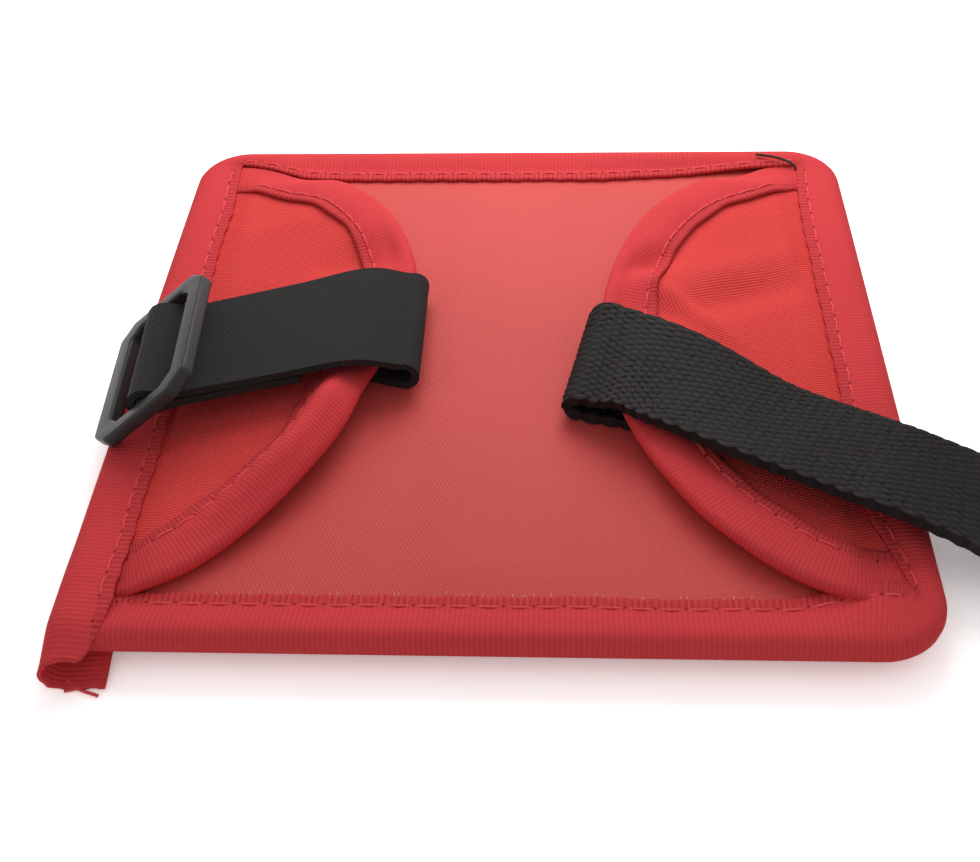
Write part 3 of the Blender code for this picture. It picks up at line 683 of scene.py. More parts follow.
def wing_height(side, x, y):
    """Height of the middle of a wing's canvas, from its margin under the binding to its lifted tip."""
    reach = HINGE_X - side * x
    tip = panel_top + 2 * LAYER_GAP + STRAP_THICKNESS[side] + WING_TAPE_STACK
    level = WING_ROOT + (tip - WING_ROOT) * ease(reach / WING_RISE_LENGTH)
    free = ease((reach + WING_HELD) / WING_HELD_SLOPE) * from_back_tape(y)
    return MARGIN_MIDDLE + (level - MARGIN_MIDDLE + wing_puckers(side, x, y)) * free


def wing_edge(side, angle):
    """A point on the wing's curved edge, from its front end at 0 to its back end at pi."""
    back = angle > math.pi / 2
    span, power = wing_part(side, back)
    along = span * abs(math.cos(angle)) ** (2 / power)
    y = WING_APEX[side] + (along if back else -along)
    reach = wing_reach(side, y)
    lap = WING_BACK_LAP * ease(1 - reach / WING_LAP_WIDTH) if back else 0
    return Vector((side * (HINGE_X - reach), y + lap, 0))


def measure(points):
    """The distances along a line of points."""
    marks = [0.0]
    for before, after in zip(points, points[1:]):
        marks.append(marks[-1] + (after - before).length)
    return marks


def locate(marks, distance):
    """Which step of a measured line holds a distance, and the share of the step before it."""
    index = min(max(bisect_right(marks, distance) - 1, 0), len(marks) - 2)
    return index, (distance - marks[index]) / (marks[index + 1] - marks[index])


def walk(points):
    """Measures a line of points: its length, and a function from a distance to its place and heading."""
    marks = measure(points)
    headings = []
    for before, after in zip([points[0], *points[:-1]], [*points[1:], points[-1]]):
        headings.append((after - before).normalized())

    def at(distance):
        index, share = locate(marks, distance)
        heading = headings[index].lerp(headings[index + 1], share).normalized()
        return points[index].lerp(points[index + 1], share), heading

    return marks[-1], at


def wing_curve(side):
    return [wing_edge(side, math.pi * step / WING_STEPS) for step in range(WING_STEPS + 1)]


def wing_line(side):
    """The wing's curved edge, with both ends run on under the edge binding."""
    curve = wing_curve(side)
    tuck = Vector((side * WING_TUCK, 0, 0))
    return walk([curve[0] + tuck, *curve, curve[-1] + tuck])


def wing_outline_area(side):
    """Area of the canvas in plan, margin included."""
    total = 0.0
    curve = wing_curve(side)
    for before, after in zip(curve, curve[1:]):
        reach = HINGE_X + WING_TUCK - side * (before.x + after.x) / 2
        total += reach * (after.y - before.y)
    return total


def bend_wing(piece, side):
    """Bakes a piece's place into its mesh, and works out the two ends of a narrow strip along the fold."""
    start, end = ((side * (HINGE_X + offset), 0, 0) for offset in WING_BEND)
    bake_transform(piece)
    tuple(start)
    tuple(end)


wing_lines = {side: wing_line(side) for side in (LEFT, RIGHT)}


def inside_wing(side, distance, inset):
    """A place in plan, at a distance along a wing's edge and some way inside it."""
    edge, heading = wing_lines[side][1](distance)
    return edge + Vector((-heading.y, heading.x, 0)) * (-side * inset)


canvas_finish = cloth_finish(
    "wing_canvas",
    CANVAS_COLOUR,
    CANVAS_VALLEY_SHADE,
    (1 / CANVAS_PITCH, 0),
    (0, 1 / CANVAS_PITCH),
    depth=0.00015,
    roughness=0.85,
    shine=0.08,
    uneven=0.35,
    patchy=0.18,
)

for side in (LEFT, RIGHT):
    line_length = wing_lines[side][0]
    lean = CANVAS_LEAN[side]

    def canvas_place(u, v):
        edge = inside_wing(side, line_length * u, CANVAS_INSET)
        x = side * (HINGE_X + WING_TUCK) * (1 - v) + edge.x * v
        y = edge.y
        along = x * math.cos(lean) + y * math.sin(lean)
        across = y * math.cos(lean) - x * math.sin(lean)
        return Vector((x, y, wing_height(side, x, y))), along, across

    work = cloth_grid(CANVAS_COLUMNS, CANVAS_ROWS, canvas_place)
    bmesh.ops.remove_doubles(work, verts=work.verts, dist=1e-6)
    canvas = thicken(piece_from(f"{WING_NAMES[side]}_canvas", work, canvas_finish), CANVAS_THICKNESS)
    bend_wing(canvas, side)
    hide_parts(f"{WING_NAMES[side]}_panel", f"{WING_NAMES[side]}_margin")
    wing_outline_area(side) - CANVAS_INSET * line_length

# Wing tapes
# Red grosgrain tape folded over each wing's curved edge and sewn through with one row of lockstitch.
# Its ends run under the edge binding and are caught in its seam.
TAPE_COLOUR = (0.69, 0.058, 0.064)
# The tape's colour in the valleys between its ribs, darker as painted shade.
TAPE_VALLEY_SHADE = (0.61, 0.049, 0.054)
RIB_PITCH = 0.00064
WING_TAPE_LEG = 0.0080
WING_TAPE_WAVE = 0.0008
STITCH_PITCH = 0.0037
STITCH_FROM_EDGE = 0.0016
HOLE_RADIUS = 0.00034
PUCKER_PITCH = 0.00082
WING_TAPE_COLUMNS, TAPE_ROWS = 200, 30
TAPE_BULGE = 0.00030
BULGE_AT = 0.42
BULGE_SPREAD = 0.22
STITCH_DIP = 0.00022
STITCH_DIP_SPREAD = 0.0007
STITCH_PULL = 0.35
# Painted shade in the needle holes and in the furrows beside the stitches, which also sink the relief.
HOLE_DEPTH_AND_SHADE = 0.75
PUCKER_DEPTH_AND_SHADE = 0.14
TUCKED_HEIGHT = 0.35
TUCKED_REACH = 0.001
TUCKED_SLOPE = 0.006
THREAD_COLOUR = (0.78, 0.076, 0.080)
THREAD_DIAMETER = 0.00034
THREAD_RISE = 0.30 * THREAD_DIAMETER
STITCH_SHARES = (0.08, 0.16, 0.30, 0.5, 0.70, 0.84, 0.92)
STITCH_SINK = 0.00030
STITCHES_FROM_FOLD = 0.006


def build_needle_holes():
    """Painted shade in the holes where the needle went through, one a stitch, and in the furrows between
    them and the edge. The same values also sink the relief.
    """
    group, given, made = shader_group(
        "needle_holes",
        [
            ("Place", "NodeSocketVector", (0, 0, 0)),
            ("Pitch", "NodeSocketFloat", STITCH_PITCH),
            ("Line", "NodeSocketFloat", STITCH_FROM_EDGE),
            ("Radius", "NodeSocketFloat", HOLE_RADIUS),
        ],
        [("Mask", "NodeSocketFloat"), ("Pucker Depth And Shade", "NodeSocketFloat")],
    )
    parts = group.nodes.new("ShaderNodeSeparateXYZ")
    group.links.new(given.outputs["Place"], parts.inputs[0])
    half = sums(group, "MULTIPLY", given.outputs["Pitch"], 0.5)
    along = sums(group, "PINGPONG", parts.outputs["X"], half)
    across = sums(group, "SUBTRACT", parts.outputs["Y"], given.outputs["Line"])
    squares = [sums(group, "MULTIPLY", value, value) for value in (along, across)]
    away = sums(group, "SQRT", sums(group, "ADD", *squares))
    fade = group.nodes.new("ShaderNodeMapRange")
    fade.interpolation_type = "SMOOTHSTEP"
    fade.inputs["From Min"].default_value = 0
    group.links.new(away, fade.inputs["Value"])
    group.links.new(given.outputs["Radius"], fade.inputs["From Max"])
    fade.inputs["To Min"].default_value = HOLE_DEPTH_AND_SHADE
    fade.inputs["To Max"].default_value = 0
    group.links.new(fade.outputs["Result"], made.inputs["Mask"])
    edge = sums(group, "LESS_THAN", across, 0.0)
    turns = sums(group, "MULTIPLY", parts.outputs["X"], math.tau / PUCKER_PITCH)
    furrow_depth_and_shade = sums(group, "MULTIPLY_ADD", sums(group, "SINE", turns), PUCKER_DEPTH_AND_SHADE, PUCKER_DEPTH_AND_SHADE)
    group.links.new(sums(group, "MULTIPLY", edge, furrow_depth_and_shade), made.inputs["Pucker Depth And Shade"])
    return group


needle_holes = build_needle_holes()
# The needle holes and the furrows beside the stitches are darkened with painted shade.
tape_finish = cloth_finish(
    "grosgrain_tape",
    TAPE_COLOUR,
    TAPE_VALLEY_SHADE,
    (1 / RIB_PITCH, 0),
    (0, 0),
    depth=0.00004,
    roughness=0.8,
    shine=0.08,
    uneven=0.5,
    patchy=0.16,
    holes={"pitch": STITCH_PITCH, "line": STITCH_FROM_EDGE, "radius": HOLE_RADIUS},
)


def tape_wrap(share, leg, half):
    """Across a tape folded over an edge: how far in from the edge, how high, and how far over the tape."""
    centre = half + TAPE_THICKNESS / 2
    flat = leg - centre
    over = share * (2 * flat + math.pi * half)
    if over < flat:
        return leg - over, half, over
    if over > flat + math.pi * half:
        return centre + over - flat - math.pi * half, -half, over
    angle = math.pi / 2 + (over - flat) / half
    return centre + half * math.cos(angle), half * math.sin(angle), over


def tape_swell(distance, inset, leg):
    """How far a sewn tape puffs up beside its stitches and is pulled down by each of them."""
    from_stitch = inset - (leg - STITCH_FROM_EDGE)
    puff = TAPE_BULGE * hill(inset, 0, (leg * BULGE_AT, 0), (leg * BULGE_SPREAD, 1))
    pull = 1 - STITCH_PULL + STITCH_PULL * math.cos(math.tau * distance / STITCH_PITCH)
    dip = STITCH_DIP * pull * math.exp(-((from_stitch / STITCH_DIP_SPREAD) ** 2))
    return puff - dip


red_thread = thread_finish("sewing_thread", THREAD_COLOUR, 0.6)


def stitches_on(surface, first, last):
    """The stitches on both faces of a tape, between two distances along it, with their line given by
    surface(distance, face). Where the tape is gathered in a corner, they are hidden and left out."""
    rows = []
    for face in (1, -1):
        for number in range(math.ceil(first / STITCH_PITCH), math.floor(last / STITCH_PITCH)):
            points = []
            for share in STITCH_SHARES:
                sink = STITCH_SINK * (2 * abs(share - 0.5)) ** 6
                points.append(surface((number + share) * STITCH_PITCH, face) - Vector((0, 0, face * sink)))
            if (points[-1] - points[0]).length > STITCH_PITCH / 2:
                rows.append(points)
    return rows


for side in (LEFT, RIGHT):
    line_length = wing_lines[side][0]
    full_half = WING_TAPE_STACK - TAPE_THICKNESS / 2

    def wing_tape_spot(distance, inset, height):
        """A point of the wing's tape, at a distance along the edge, an inset from it and a height."""
        spot = inside_wing(side, distance, inset)
        slack = ease((HINGE_X - side * spot.x + TUCKED_REACH) / TUCKED_SLOPE) * from_back_tape(spot.y)
        level = wing_height(side, spot.x, spot.y)
        return Vector((spot.x, spot.y, level + height * (TUCKED_HEIGHT + (1 - TUCKED_HEIGHT) * slack)))

    def wing_tape_place(u, v):
        distance = line_length * u
        inset, height, over = tape_wrap(v, WING_TAPE_LEG, full_half)
        swell = tape_swell(distance, inset, WING_TAPE_LEG) if height > 0 else 0
        wave = WING_TAPE_WAVE * noise.noise(Vector((distance * 120, side, 0)))
        inset += wave * ease((inset - WING_TAPE_LEG / 2) / (WING_TAPE_LEG / 2))
        return wing_tape_spot(distance, inset, height + swell), distance, over

    def wing_stitch_line(distance, face):
        inset = WING_TAPE_LEG - STITCH_FROM_EDGE
        height = full_half + TAPE_THICKNESS / 2 + THREAD_RISE
        swell = tape_swell(distance, inset, WING_TAPE_LEG) if face > 0 else 0
        spot = wing_tape_spot(distance, inset, face * (height + swell))
        spot.z = max(spot.z, panel_top + LAYER_GAP + THREAD_DIAMETER)
        return spot

    work = cloth_grid(WING_TAPE_COLUMNS, TAPE_ROWS, wing_tape_place)
    wing_tape = thicken(piece_from(f"{WING_NAMES[side]}_tape", work, tape_finish), TAPE_THICKNESS)
    bend_wing(wing_tape, side)
    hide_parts(f"{WING_NAMES[side]}_binding")

    end_margin = WING_TUCK + STITCHES_FROM_FOLD
    spots = stitches_on(wing_stitch_line, end_margin, line_length - end_margin)
    stitches = thread_row(f"{WING_NAMES[side]}_stitches", spots, red_thread, THREAD_DIAMETER)
    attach(stitches, WING_NAMES[side])
    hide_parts(f"{WING_NAMES[side]}_thread")

# Elastic strap
# Black woven elastic, 20 mm wide, sewn under the left wing. It turns up round the wing's tip in an open
# loop, runs back over the wing, goes round the buckle's centre bar and lies back under itself.
ELASTIC_COLOUR = (0.027, 0.025, 0.024)
# The elastic's colour in the valleys between its ribs, darker as painted shade.
ELASTIC_VALLEY_SHADE = (0.008, 0.0075, 0.0075)
ELASTIC_RIB = 0.00042
ELASTIC_LINE = 0.0011
ELASTIC_WIDTH = 0.020
ELASTIC_THICKNESS = STRAP_THICKNESS[LEFT]
ELASTIC_YAW = math.radians(16)
ELASTIC_ROOT_LENGTH = 0.016
ELASTIC_HUMP = 0.0006
ELASTIC_HUMP_AT = 0.0086
ELASTIC_TAIL_LENGTH = 0.0138
ELASTIC_STEP = 0.0007
ELASTIC_ROWS = 18
ELASTIC_BEND = 0.0013
ELASTIC_WAVE = 0.00014
ELASTIC_NARROWING = 0.012
BUCKLE_TILT = math.radians(39)
BUCKLE_TURN = math.radians(6)
BUCKLE_BAR_RADIUS = 0.0010
BUCKLE_SLOT = 0.0053
BUCKLE_END_BAR = 0.0030
BUCKLE_SIDE_BAR = 0.0025
BUCKLE_THICKNESS = 0.0020
STRAP_PLAY = 0.0010
LOOP_LEAN = math.radians(35)
FOLD_STEPS = 24
RUN_STEPS = 12
LOOP_STEPS = 6
STRAP_SHARP_ANGLE = math.radians(70)
ROOT_SHARES = (1, 0.75, 0.5, 0.25)


def joint_place(name):
    """Where a joint's axis passes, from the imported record."""
    for joint in frame["joints"]:
        if joint["name"] == name:
            return Vector(joint["pos_m"])


def smooth_route(knots, steps):
    """Points on a Catmull-Rom curve through the knots, with so many steps between neighbours."""
    padded = [knots[0] * 2 - knots[1], *knots, knots[-1] * 2 - knots[-2]]
    points = []
    for before, start, end, after in zip(padded, padded[1:], padded[2:], padded[3:]):
        for step in range(steps):
            t = step / steps
            points.append(
                start
                + (end - before) * (0.5 * t)
                + (before * 2 - start * 5 + end * 4 - after) * (0.5 * t * t)
                + (start * 3 - before - end * 3 + after) * (0.5 * t * t * t)
            )
    return [*points, knots[-1].copy()]


buckle_low, buckle_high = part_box("slider_buckle")
buckle_axis = (buckle_low + buckle_high) / 2
buckle_turned = Matrix.Rotation(-BUCKLE_TILT, 3, "Y") @ Matrix.Rotation(BUCKLE_TURN, 3, "Z")
bar_way = buckle_turned @ Vector((0, 1, 0))
elastic_apex = joint_place("elastic_unfold")
elastic_flex = joint_place("buckle_lift")
under_way = Vector((-math.cos(ELASTIC_YAW), math.sin(ELASTIC_YAW), 0))
over_way = Vector((-math.cos(ELASTIC_YAW), -math.sin(ELASTIC_YAW), 0))
elastic_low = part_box("elastic_root")[0].z + ELASTIC_THICKNESS / 2
elastic_high = 2 * elastic_apex.z - elastic_low
elastic_turn = (elastic_high - elastic_low) / 2
flex_along = (elastic_apex.x - elastic_flex.x) / math.cos(ELASTIC_YAW)
bar_along = (elastic_apex.x - buckle_axis.x) / math.cos(ELASTIC_YAW)
elastic_level = buckle_axis.z + BUCKLE_BAR_RADIUS / 2
elastic_layer = ELASTIC_THICKNESS + LAYER_GAP


def elastic_at(along, height, under=False):
    spot = elastic_apex + (under_way if under else over_way) * along
    return Vector((spot.x, spot.y, height))


def strap_fold(at, low, turn, root_length, half, press=0.0):
    """Centre and half-width pairs of a strap's sewn end, which lies low, and of its fold, whose front may
    be pressed down. At(along, height, under) gives a place on the strap."""
    route = [(at(turn + root_length * share, low, True), half) for share in ROOT_SHARES]
    for step in range(FOLD_STEPS + 1):
        angle = -math.pi / 2 + math.pi * step / FOLD_STEPS
        lower = Vector((0, 0, press / 2 * ease(step / FOLD_STEPS)))
        centre = at(turn - turn * math.cos(angle), low + turn + turn * math.sin(angle), angle < 0)
        route.append((centre - lower, half + lower))
    return route


def elastic_half(along):
    """Half of the strap's width as a vector: across the pad at the fold, along the bar at the buckle."""
    share = ease((along - elastic_turn * 2) / (flex_along - elastic_turn * 2))
    across = Vector((0, 1, 0)).lerp(bar_way, share).normalized()
    return across * (ELASTIC_WIDTH / 2 / across.cross(over_way).length)


def elastic_route():
    """Centre and half-width pairs from the sewn end under the wing, up round the fold, back over the wing,
    round the buckle's centre bar and under the run to the free end."""
    route = strap_fold(elastic_at, elastic_low, elastic_turn, ELASTIC_ROOT_LENGTH, elastic_half(0))
    turn = BUCKLE_BAR_RADIUS + LAYER_GAP + ELASTIC_THICKNESS / 2
    arc = []
    for step in range(FOLD_STEPS + 1):
        angle = math.pi / 2 + LOOP_LEAN - (math.pi + 2 * LOOP_LEAN) * step / FOLD_STEPS
        arc.append(Vector((bar_along + turn * math.cos(angle), buckle_axis.z + turn * math.sin(angle))))
    upper_start = run_line[-1]
    lower_end = upper_start - Vector((0, elastic_layer))
    upper_middle = (upper_start + Vector((arc[0].x, upper_start.y))) / 2
    lower_middle = (lower_end + Vector((arc[-1].x, lower_end.y))) / 2
    upper = smooth_route([upper_start, upper_middle, arc[0]], LOOP_STEPS)
    lower = smooth_route([arc[-1], lower_middle, lower_end], LOOP_STEPS)
    tail = [spot for spot in run_line if flex_along - ELASTIC_TAIL_LENGTH < spot.x < flex_along]
    line = [*run_line[1:], *upper[1:-1], *arc, *lower[1:]]
    line += [Vector((spot.x, spot.y - elastic_layer)) for spot in reversed(tail)]
    return route + [(elastic_at(spot.x, spot.y), elastic_half(spot.x)) for spot in line]


def ribbon(route, step, rows, thickness, finish, relief):
    """A strap along centre and half-width pairs, and its length. Relief(along, across) lifts its surface
    and widens it."""
    centres = [centre for centre, half in route]
    halves = [half for centre, half in route]
    marks = measure(centres)
    length, at = walk(centres)

    def place(u, v):
        along = length * u
        centre, heading = at(along)
        index, share = locate(marks, along)
        half = halves[index].lerp(halves[index + 1], share)
        across = (v - 0.5) * 2 * half.length
        lift, widen = relief(along, across)
        up = heading.cross(half).normalized()
        return centre + half * ((v * 2 - 1) * widen) + up * lift, along, across

    work = cloth_grid(round(length / step), rows, place)
    strap = thicken(piece_from("strap", work, finish), thickness)
    strap.data.set_sharp_from_angle(angle=STRAP_SHARP_ANGLE)
    return strap, length


def cut_length(name, strap, first, last):
    """A piece of a strap between two distances along it, with its ends closed. It is shaded as the whole
    strap is, so that the cut does not show."""
    work = bmesh.new()
    work.from_mesh(strap.data)
    weave = work.verts.layers.float_vector["weave"]
    outside = []
    for face in work.faces:
        middle = sum(vertex[weave].x for vertex in face.verts) / len(face.verts)
        if not first - 1e-6 < middle < last + 1e-6:
            outside.append(face)
    bmesh.ops.delete(work, geom=outside, context="FACES")
    columns = {}
    for vertex in work.verts:
        if vertex.is_boundary:
            columns.setdefault(round(vertex[weave].y, 6), []).append(vertex)
    ladder = [sorted(columns[across], key=lambda vertex: vertex.co.z) for across in sorted(columns)]
    for (low, high), (next_low, next_high) in zip(ladder, ladder[1:]):
        work.faces.new((low, high, next_high, next_low))
    bmesh.ops.recalc_face_normals(work, faces=work.faces)
    piece = piece_from(name, work, strap.data.materials[0])
    shading = piece.modifiers.new("shading", "DATA_TRANSFER")
    shading.object = strap
    shading.use_loop_data = True
    shading.data_types_loops = {"CUSTOM_NORMAL"}
    shading.loop_mapping = "NEAREST_POLYNOR"
    return settle(piece)


hump = max(elastic_high, elastic_level) + ELASTIC_HUMP
run_line = smooth_route(
    [
        Vector((elastic_turn, elastic_high)),
        Vector((ELASTIC_HUMP_AT, hump)),
        Vector(((ELASTIC_HUMP_AT + flex_along) / 2, elastic_level + ELASTIC_HUMP / 2)),
        Vector((flex_along, elastic_level)),
    ],
    RUN_STEPS,
)


def elastic_relief(along, across):
    """Slow waviness of a strap that has been stretched and let go."""
    lift = ELASTIC_WAVE * noise.noise(Vector((along * 120, across * 60, 2)))
    return lift, 1 + ELASTIC_NARROWING * noise.noise(Vector((along * 90, 0, 5)))


elastic_finish = cloth_finish(
    "woven_elastic",
    ELASTIC_COLOUR,
    ELASTIC_VALLEY_SHADE,
    (1 / ELASTIC_RIB, 0),
    (0, 1 / ELASTIC_LINE),
    depth=0.00010,
    roughness=0.8,
    shine=0.18,
    uneven=0.4,
    patchy=0.3,
)
elastic, elastic_cut = ribbon(
    elastic_route(), ELASTIC_STEP, ELASTIC_ROWS, ELASTIC_THICKNESS, elastic_finish, elastic_relief
)
elastic_split = ELASTIC_ROOT_LENGTH + math.pi * elastic_turn + flex_along - elastic_turn - ELASTIC_BEND
elastic_fold = cut_length("elastic_fold_length", elastic, 0, elastic_split)
elastic_end = cut_length("elastic_buckle_length", elastic, elastic_split, elastic_cut)
bpy.data.objects.remove(elastic)
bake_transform(elastic_fold)
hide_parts("elastic_root", "elastic_fold", "elastic_run")

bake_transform(elastic_end)
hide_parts("elastic_loop", "elastic_tail")

# Slider buckle
# A moulded grey plastic slider with two slots and a round centre bar, its corners cut off and its edges
# softened. The elastic goes round the centre bar, and the far slot is free for the webbing.
BUCKLE_COLOUR = (0.024, 0.022, 0.021)
BUCKLE_SPECKLE = 2600
BUCKLE_OUTER_CORNER = 0.0027
BUCKLE_INNER_CORNER = 0.0019
BUCKLE_SOFT_EDGE = 0.00045
BUCKLE_RIM_ANGLE = math.radians(30)
BUCKLE_SHARP_ANGLE = math.radians(50)
BAR_SIDES = 24


def cut_corner_loop(work, half, corner, height):
    """A closed loop of edges: a rectangle whose four corners are cut off."""
    points = []
    for x, y in ((1, 1), (-1, 1), (-1, -1), (1, -1)):
        along_x = (x * (half.x - corner), y * half.y)
        along_y = (x * half.x, y * (half.y - corner))
        points += [along_y, along_x] if x * y > 0 else [along_x, along_y]
    verts = [work.verts.new((*point, height)) for point in points]
    return [work.edges.new((verts[here - 1], verts[here])) for here in range(len(verts))]


window_half = Vector((BUCKLE_SLOT + BUCKLE_BAR_RADIUS, ELASTIC_WIDTH / 2 + STRAP_PLAY))
outer_half = window_half + Vector((BUCKLE_END_BAR, BUCKLE_SIDE_BAR))
work = bmesh.new()
edges = cut_corner_loop(work, outer_half, BUCKLE_OUTER_CORNER, -BUCKLE_THICKNESS / 2)
edges += cut_corner_loop(work, window_half, BUCKLE_INNER_CORNER, -BUCKLE_THICKNESS / 2)
ring = bmesh.ops.bridge_loops(work, edges=edges)["faces"]
raised = bmesh.ops.extrude_face_region(work, geom=ring)["geom"]
raised_verts = [part for part in raised if isinstance(part, bmesh.types.BMVert)]
bmesh.ops.translate(work, verts=raised_verts, vec=(0, 0, BUCKLE_THICKNESS))
bmesh.ops.recalc_face_normals(work, faces=work.faces)
rims = [edge for edge in work.edges if edge.calc_face_angle(0) > BUCKLE_RIM_ANGLE]
bmesh.ops.bevel(
    work, geom=rims, offset=BUCKLE_SOFT_EDGE, segments=4, profile=0.5, affect="EDGES", material=-1
)
buckle_place = Matrix.Translation(buckle_axis) @ buckle_turned.to_4x4()
bmesh.ops.transform(work, matrix=buckle_place, verts=work.verts)
buckle_finish = uneven_finish(
    "buckle_plastic",
    BUCKLE_COLOUR,
    roughness=0.45,
    shine=0.22,
    grain=PLASTIC_GRAIN,
    uneven_gloss=True,
    speckle_scale=BUCKLE_SPECKLE,
    strength=PLASTIC_MOTTLE,
)
buckle = piece_from("buckle", work, buckle_finish)
work = bmesh.new()
bmesh.ops.create_cone(
    work,
    cap_ends=True,
    segments=BAR_SIDES,
    radius1=BUCKLE_BAR_RADIUS,
    radius2=BUCKLE_BAR_RADIUS,
    depth=2 * window_half.y + BUCKLE_SIDE_BAR,
)
bmesh.ops.transform(work, matrix=buckle_place @ Matrix.Rotation(math.pi / 2, 4, "X"), verts=work.verts)
bar = piece_from("buckle_bar", work, buckle_finish)
joined = buckle.modifiers.new("bar", "BOOLEAN")
joined.operation = "UNION"
joined.object = bar
settle(buckle)
bpy.data.objects.remove(bar)
buckle.data.set_sharp_from_angle(angle=BUCKLE_SHARP_ANGLE)
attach(buckle, "buckle_end")
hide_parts("slider_buckle")

# Webbing strap
# Black polypropylene webbing with long floats in offset rows and scalloped edges, sewn under the right
# wing. It turns up in a tight fold, runs over the wing and off the pad, and lies on the table.
WEBBING_COLOUR = (0.027, 0.022, 0.022)
# The webbing's colour in the gaps between its floats, darker as painted shade.
WEBBING_VALLEY_SHADE = (0.004, 0.0035, 0.0036)
WEBBING_WIDTH = 0.0188
WEBBING_THICKNESS = STRAP_THICKNESS[RIGHT]
WEBBING_YAW = math.radians(-13)
WEBBING_TAIL_YAW = math.radians(-20)
WEBBING_TWIST = math.radians(10)
WEBBING_ROOT_LENGTH = 0.016
WEBBING_SAG_LENGTH = 0.022
WEBBING_TAIL = 0.048
WEBBING_SPLIT = 0.006
WEBBING_TURN_STEPS = 14
WEBBING_RUN_STEPS = 10
WEBBING_PRESS = 0.0020
WEBBING_PRESS_LENGTH = 0.006
WEBBING_BLEND = 0.38
WEBBING_SAG = 0.00012
WEBBING_ENDS = 32
FLOAT_PERIOD = 0.0025
FLOAT_LIFT = 0.00020
FLOAT_JITTER = 0.18
SCALLOP = 0.009
SELVEDGE = 0.0009
WEBBING_STEP = FLOAT_PERIOD / 8
SEAM_RISE = 0.0005

# How far the webbing has drifted to the front from its fold, where it crosses each place
DRIFT_AT_TAPE = 0.0056
DRIFT_ON_WING = 0.0141
DRIFT_AT_HINGE = 0.0206
DRIFT_AT_EDGE = 0.0241
DRIFT_IN_AIR = 0.0276
DRIFT_ON_TABLE = 0.0308

webbing_apex = joint_place("webbing_unfold")
webbing_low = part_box("webbing_root")[0].z + WEBBING_THICKNESS / 2
webbing_high = 2 * webbing_apex.z - webbing_low
webbing_turn = (webbing_high - webbing_low) / 2
webbing_way = Vector((math.cos(WEBBING_YAW), math.sin(WEBBING_YAW), 0))
webbing_side = Vector((-webbing_way.y, webbing_way.x, 0)) * (WEBBING_WIDTH / 2)


def webbing_at(along, height, under=False):
    """A place on the strap, whose sewn end lies right under its run."""
    spot = webbing_apex + webbing_way * along
    return Vector((spot.x, spot.y, height))


def webbing_run_route():
    """Centre and half-width pairs from the fold over the wing, off the pad and along the table."""
    half = WEBBING_THICKNESS / 2
    front_rise = WEBBING_WIDTH / 2 * math.sin(WEBBING_TWIST)
    over_seam = binding_high.z + SEAM_RISE + 2 * LAYER_GAP + half + front_rise
    table = LAYER_GAP + half
    tape_x = HINGE_X - WING_REACH + WING_TAPE_LEG

    def knot(x, drift, height, twist):
        return Vector((x, webbing_apex.y - drift, height, twist))

    tail_way = Vector((math.cos(WEBBING_TAIL_YAW), math.sin(WEBBING_TAIL_YAW), 0, 0))
    tail_start = knot(pad_half.x + WEBBING_SAG_LENGTH, DRIFT_ON_TABLE, table, 0)
    start = webbing_at(webbing_turn, webbing_high)
    line = smooth_route(
        [
            Vector((*start, 0)),
            knot(tape_x, DRIFT_AT_TAPE, webbing_high, 0),
            knot((tape_x + HINGE_X) / 2, DRIFT_ON_WING, (webbing_high + over_seam) / 2, 1),
            knot(HINGE_X, DRIFT_AT_HINGE, over_seam, 1),
            knot(pad_half.x - tape_half / 2, DRIFT_AT_EDGE, over_seam - LAYER_GAP, 1),
            knot(pad_half.x + WEBBING_SAG_LENGTH / 2, DRIFT_IN_AIR, (over_seam + table) / 2, 0.5),
            tail_start,
            tail_start + tail_way * (WEBBING_TAIL / 2),
            tail_start + tail_way * WEBBING_TAIL,
        ],
        WEBBING_RUN_STEPS,
    )
    route = []
    for before, here, after in zip([line[0], *line[:-1]], line, [*line[1:], line[-1]]):
        along = (after - before).to_2d().normalized()
        twist = WEBBING_TWIST * here.w
        level = Vector((-along.y, along.x, 0)) * math.cos(twist)
        centre = Vector((here.x, here.y, max(here.z, table)))
        route.append((centre, (level - Vector((0, 0, math.sin(twist)))) * (WEBBING_WIDTH / 2)))
    turned = []
    for number, (centre, half) in enumerate(route):
        press = Vector((0, 0, WEBBING_PRESS / 2 * (1 - ease((centre.x - start.x) / WEBBING_PRESS_LENGTH))))
        turned.append((centre - press, webbing_side.lerp(half, ease(number / WEBBING_TURN_STEPS)) + press))
    return turned


def webbing_relief(along, across):
    """Warp floats that rise and dive in turn, neighbours out of step, and the scallops of the edge."""
    row = (across / WEBBING_WIDTH + 0.5) * WEBBING_ENDS
    stagger = FLOAT_JITTER * noise.noise(Vector((along * 130, math.floor(row) * 1.7, 9)))
    phase = along / FLOAT_PERIOD + 0.5 * (math.floor(row) % 2) + stagger
    ridge = math.sin(math.pi * (row % 1))
    wave = 1 - 2 * math.sin(math.pi * phase) ** 4
    flat = ease((WEBBING_WIDTH / 2 - abs(across)) / SELVEDGE)
    sag = WEBBING_SAG * noise.noise(Vector((along * 110, across * 90, 4)))
    uneven = 1 + 0.8 * noise.noise(Vector((along * 260, math.copysign(3, across), 1)))
    widen = 1 + SCALLOP * uneven * math.cos(math.tau * along / FLOAT_PERIOD)
    return FLOAT_LIFT * ridge * wave * (0.25 + 0.75 * flat) + sag, widen


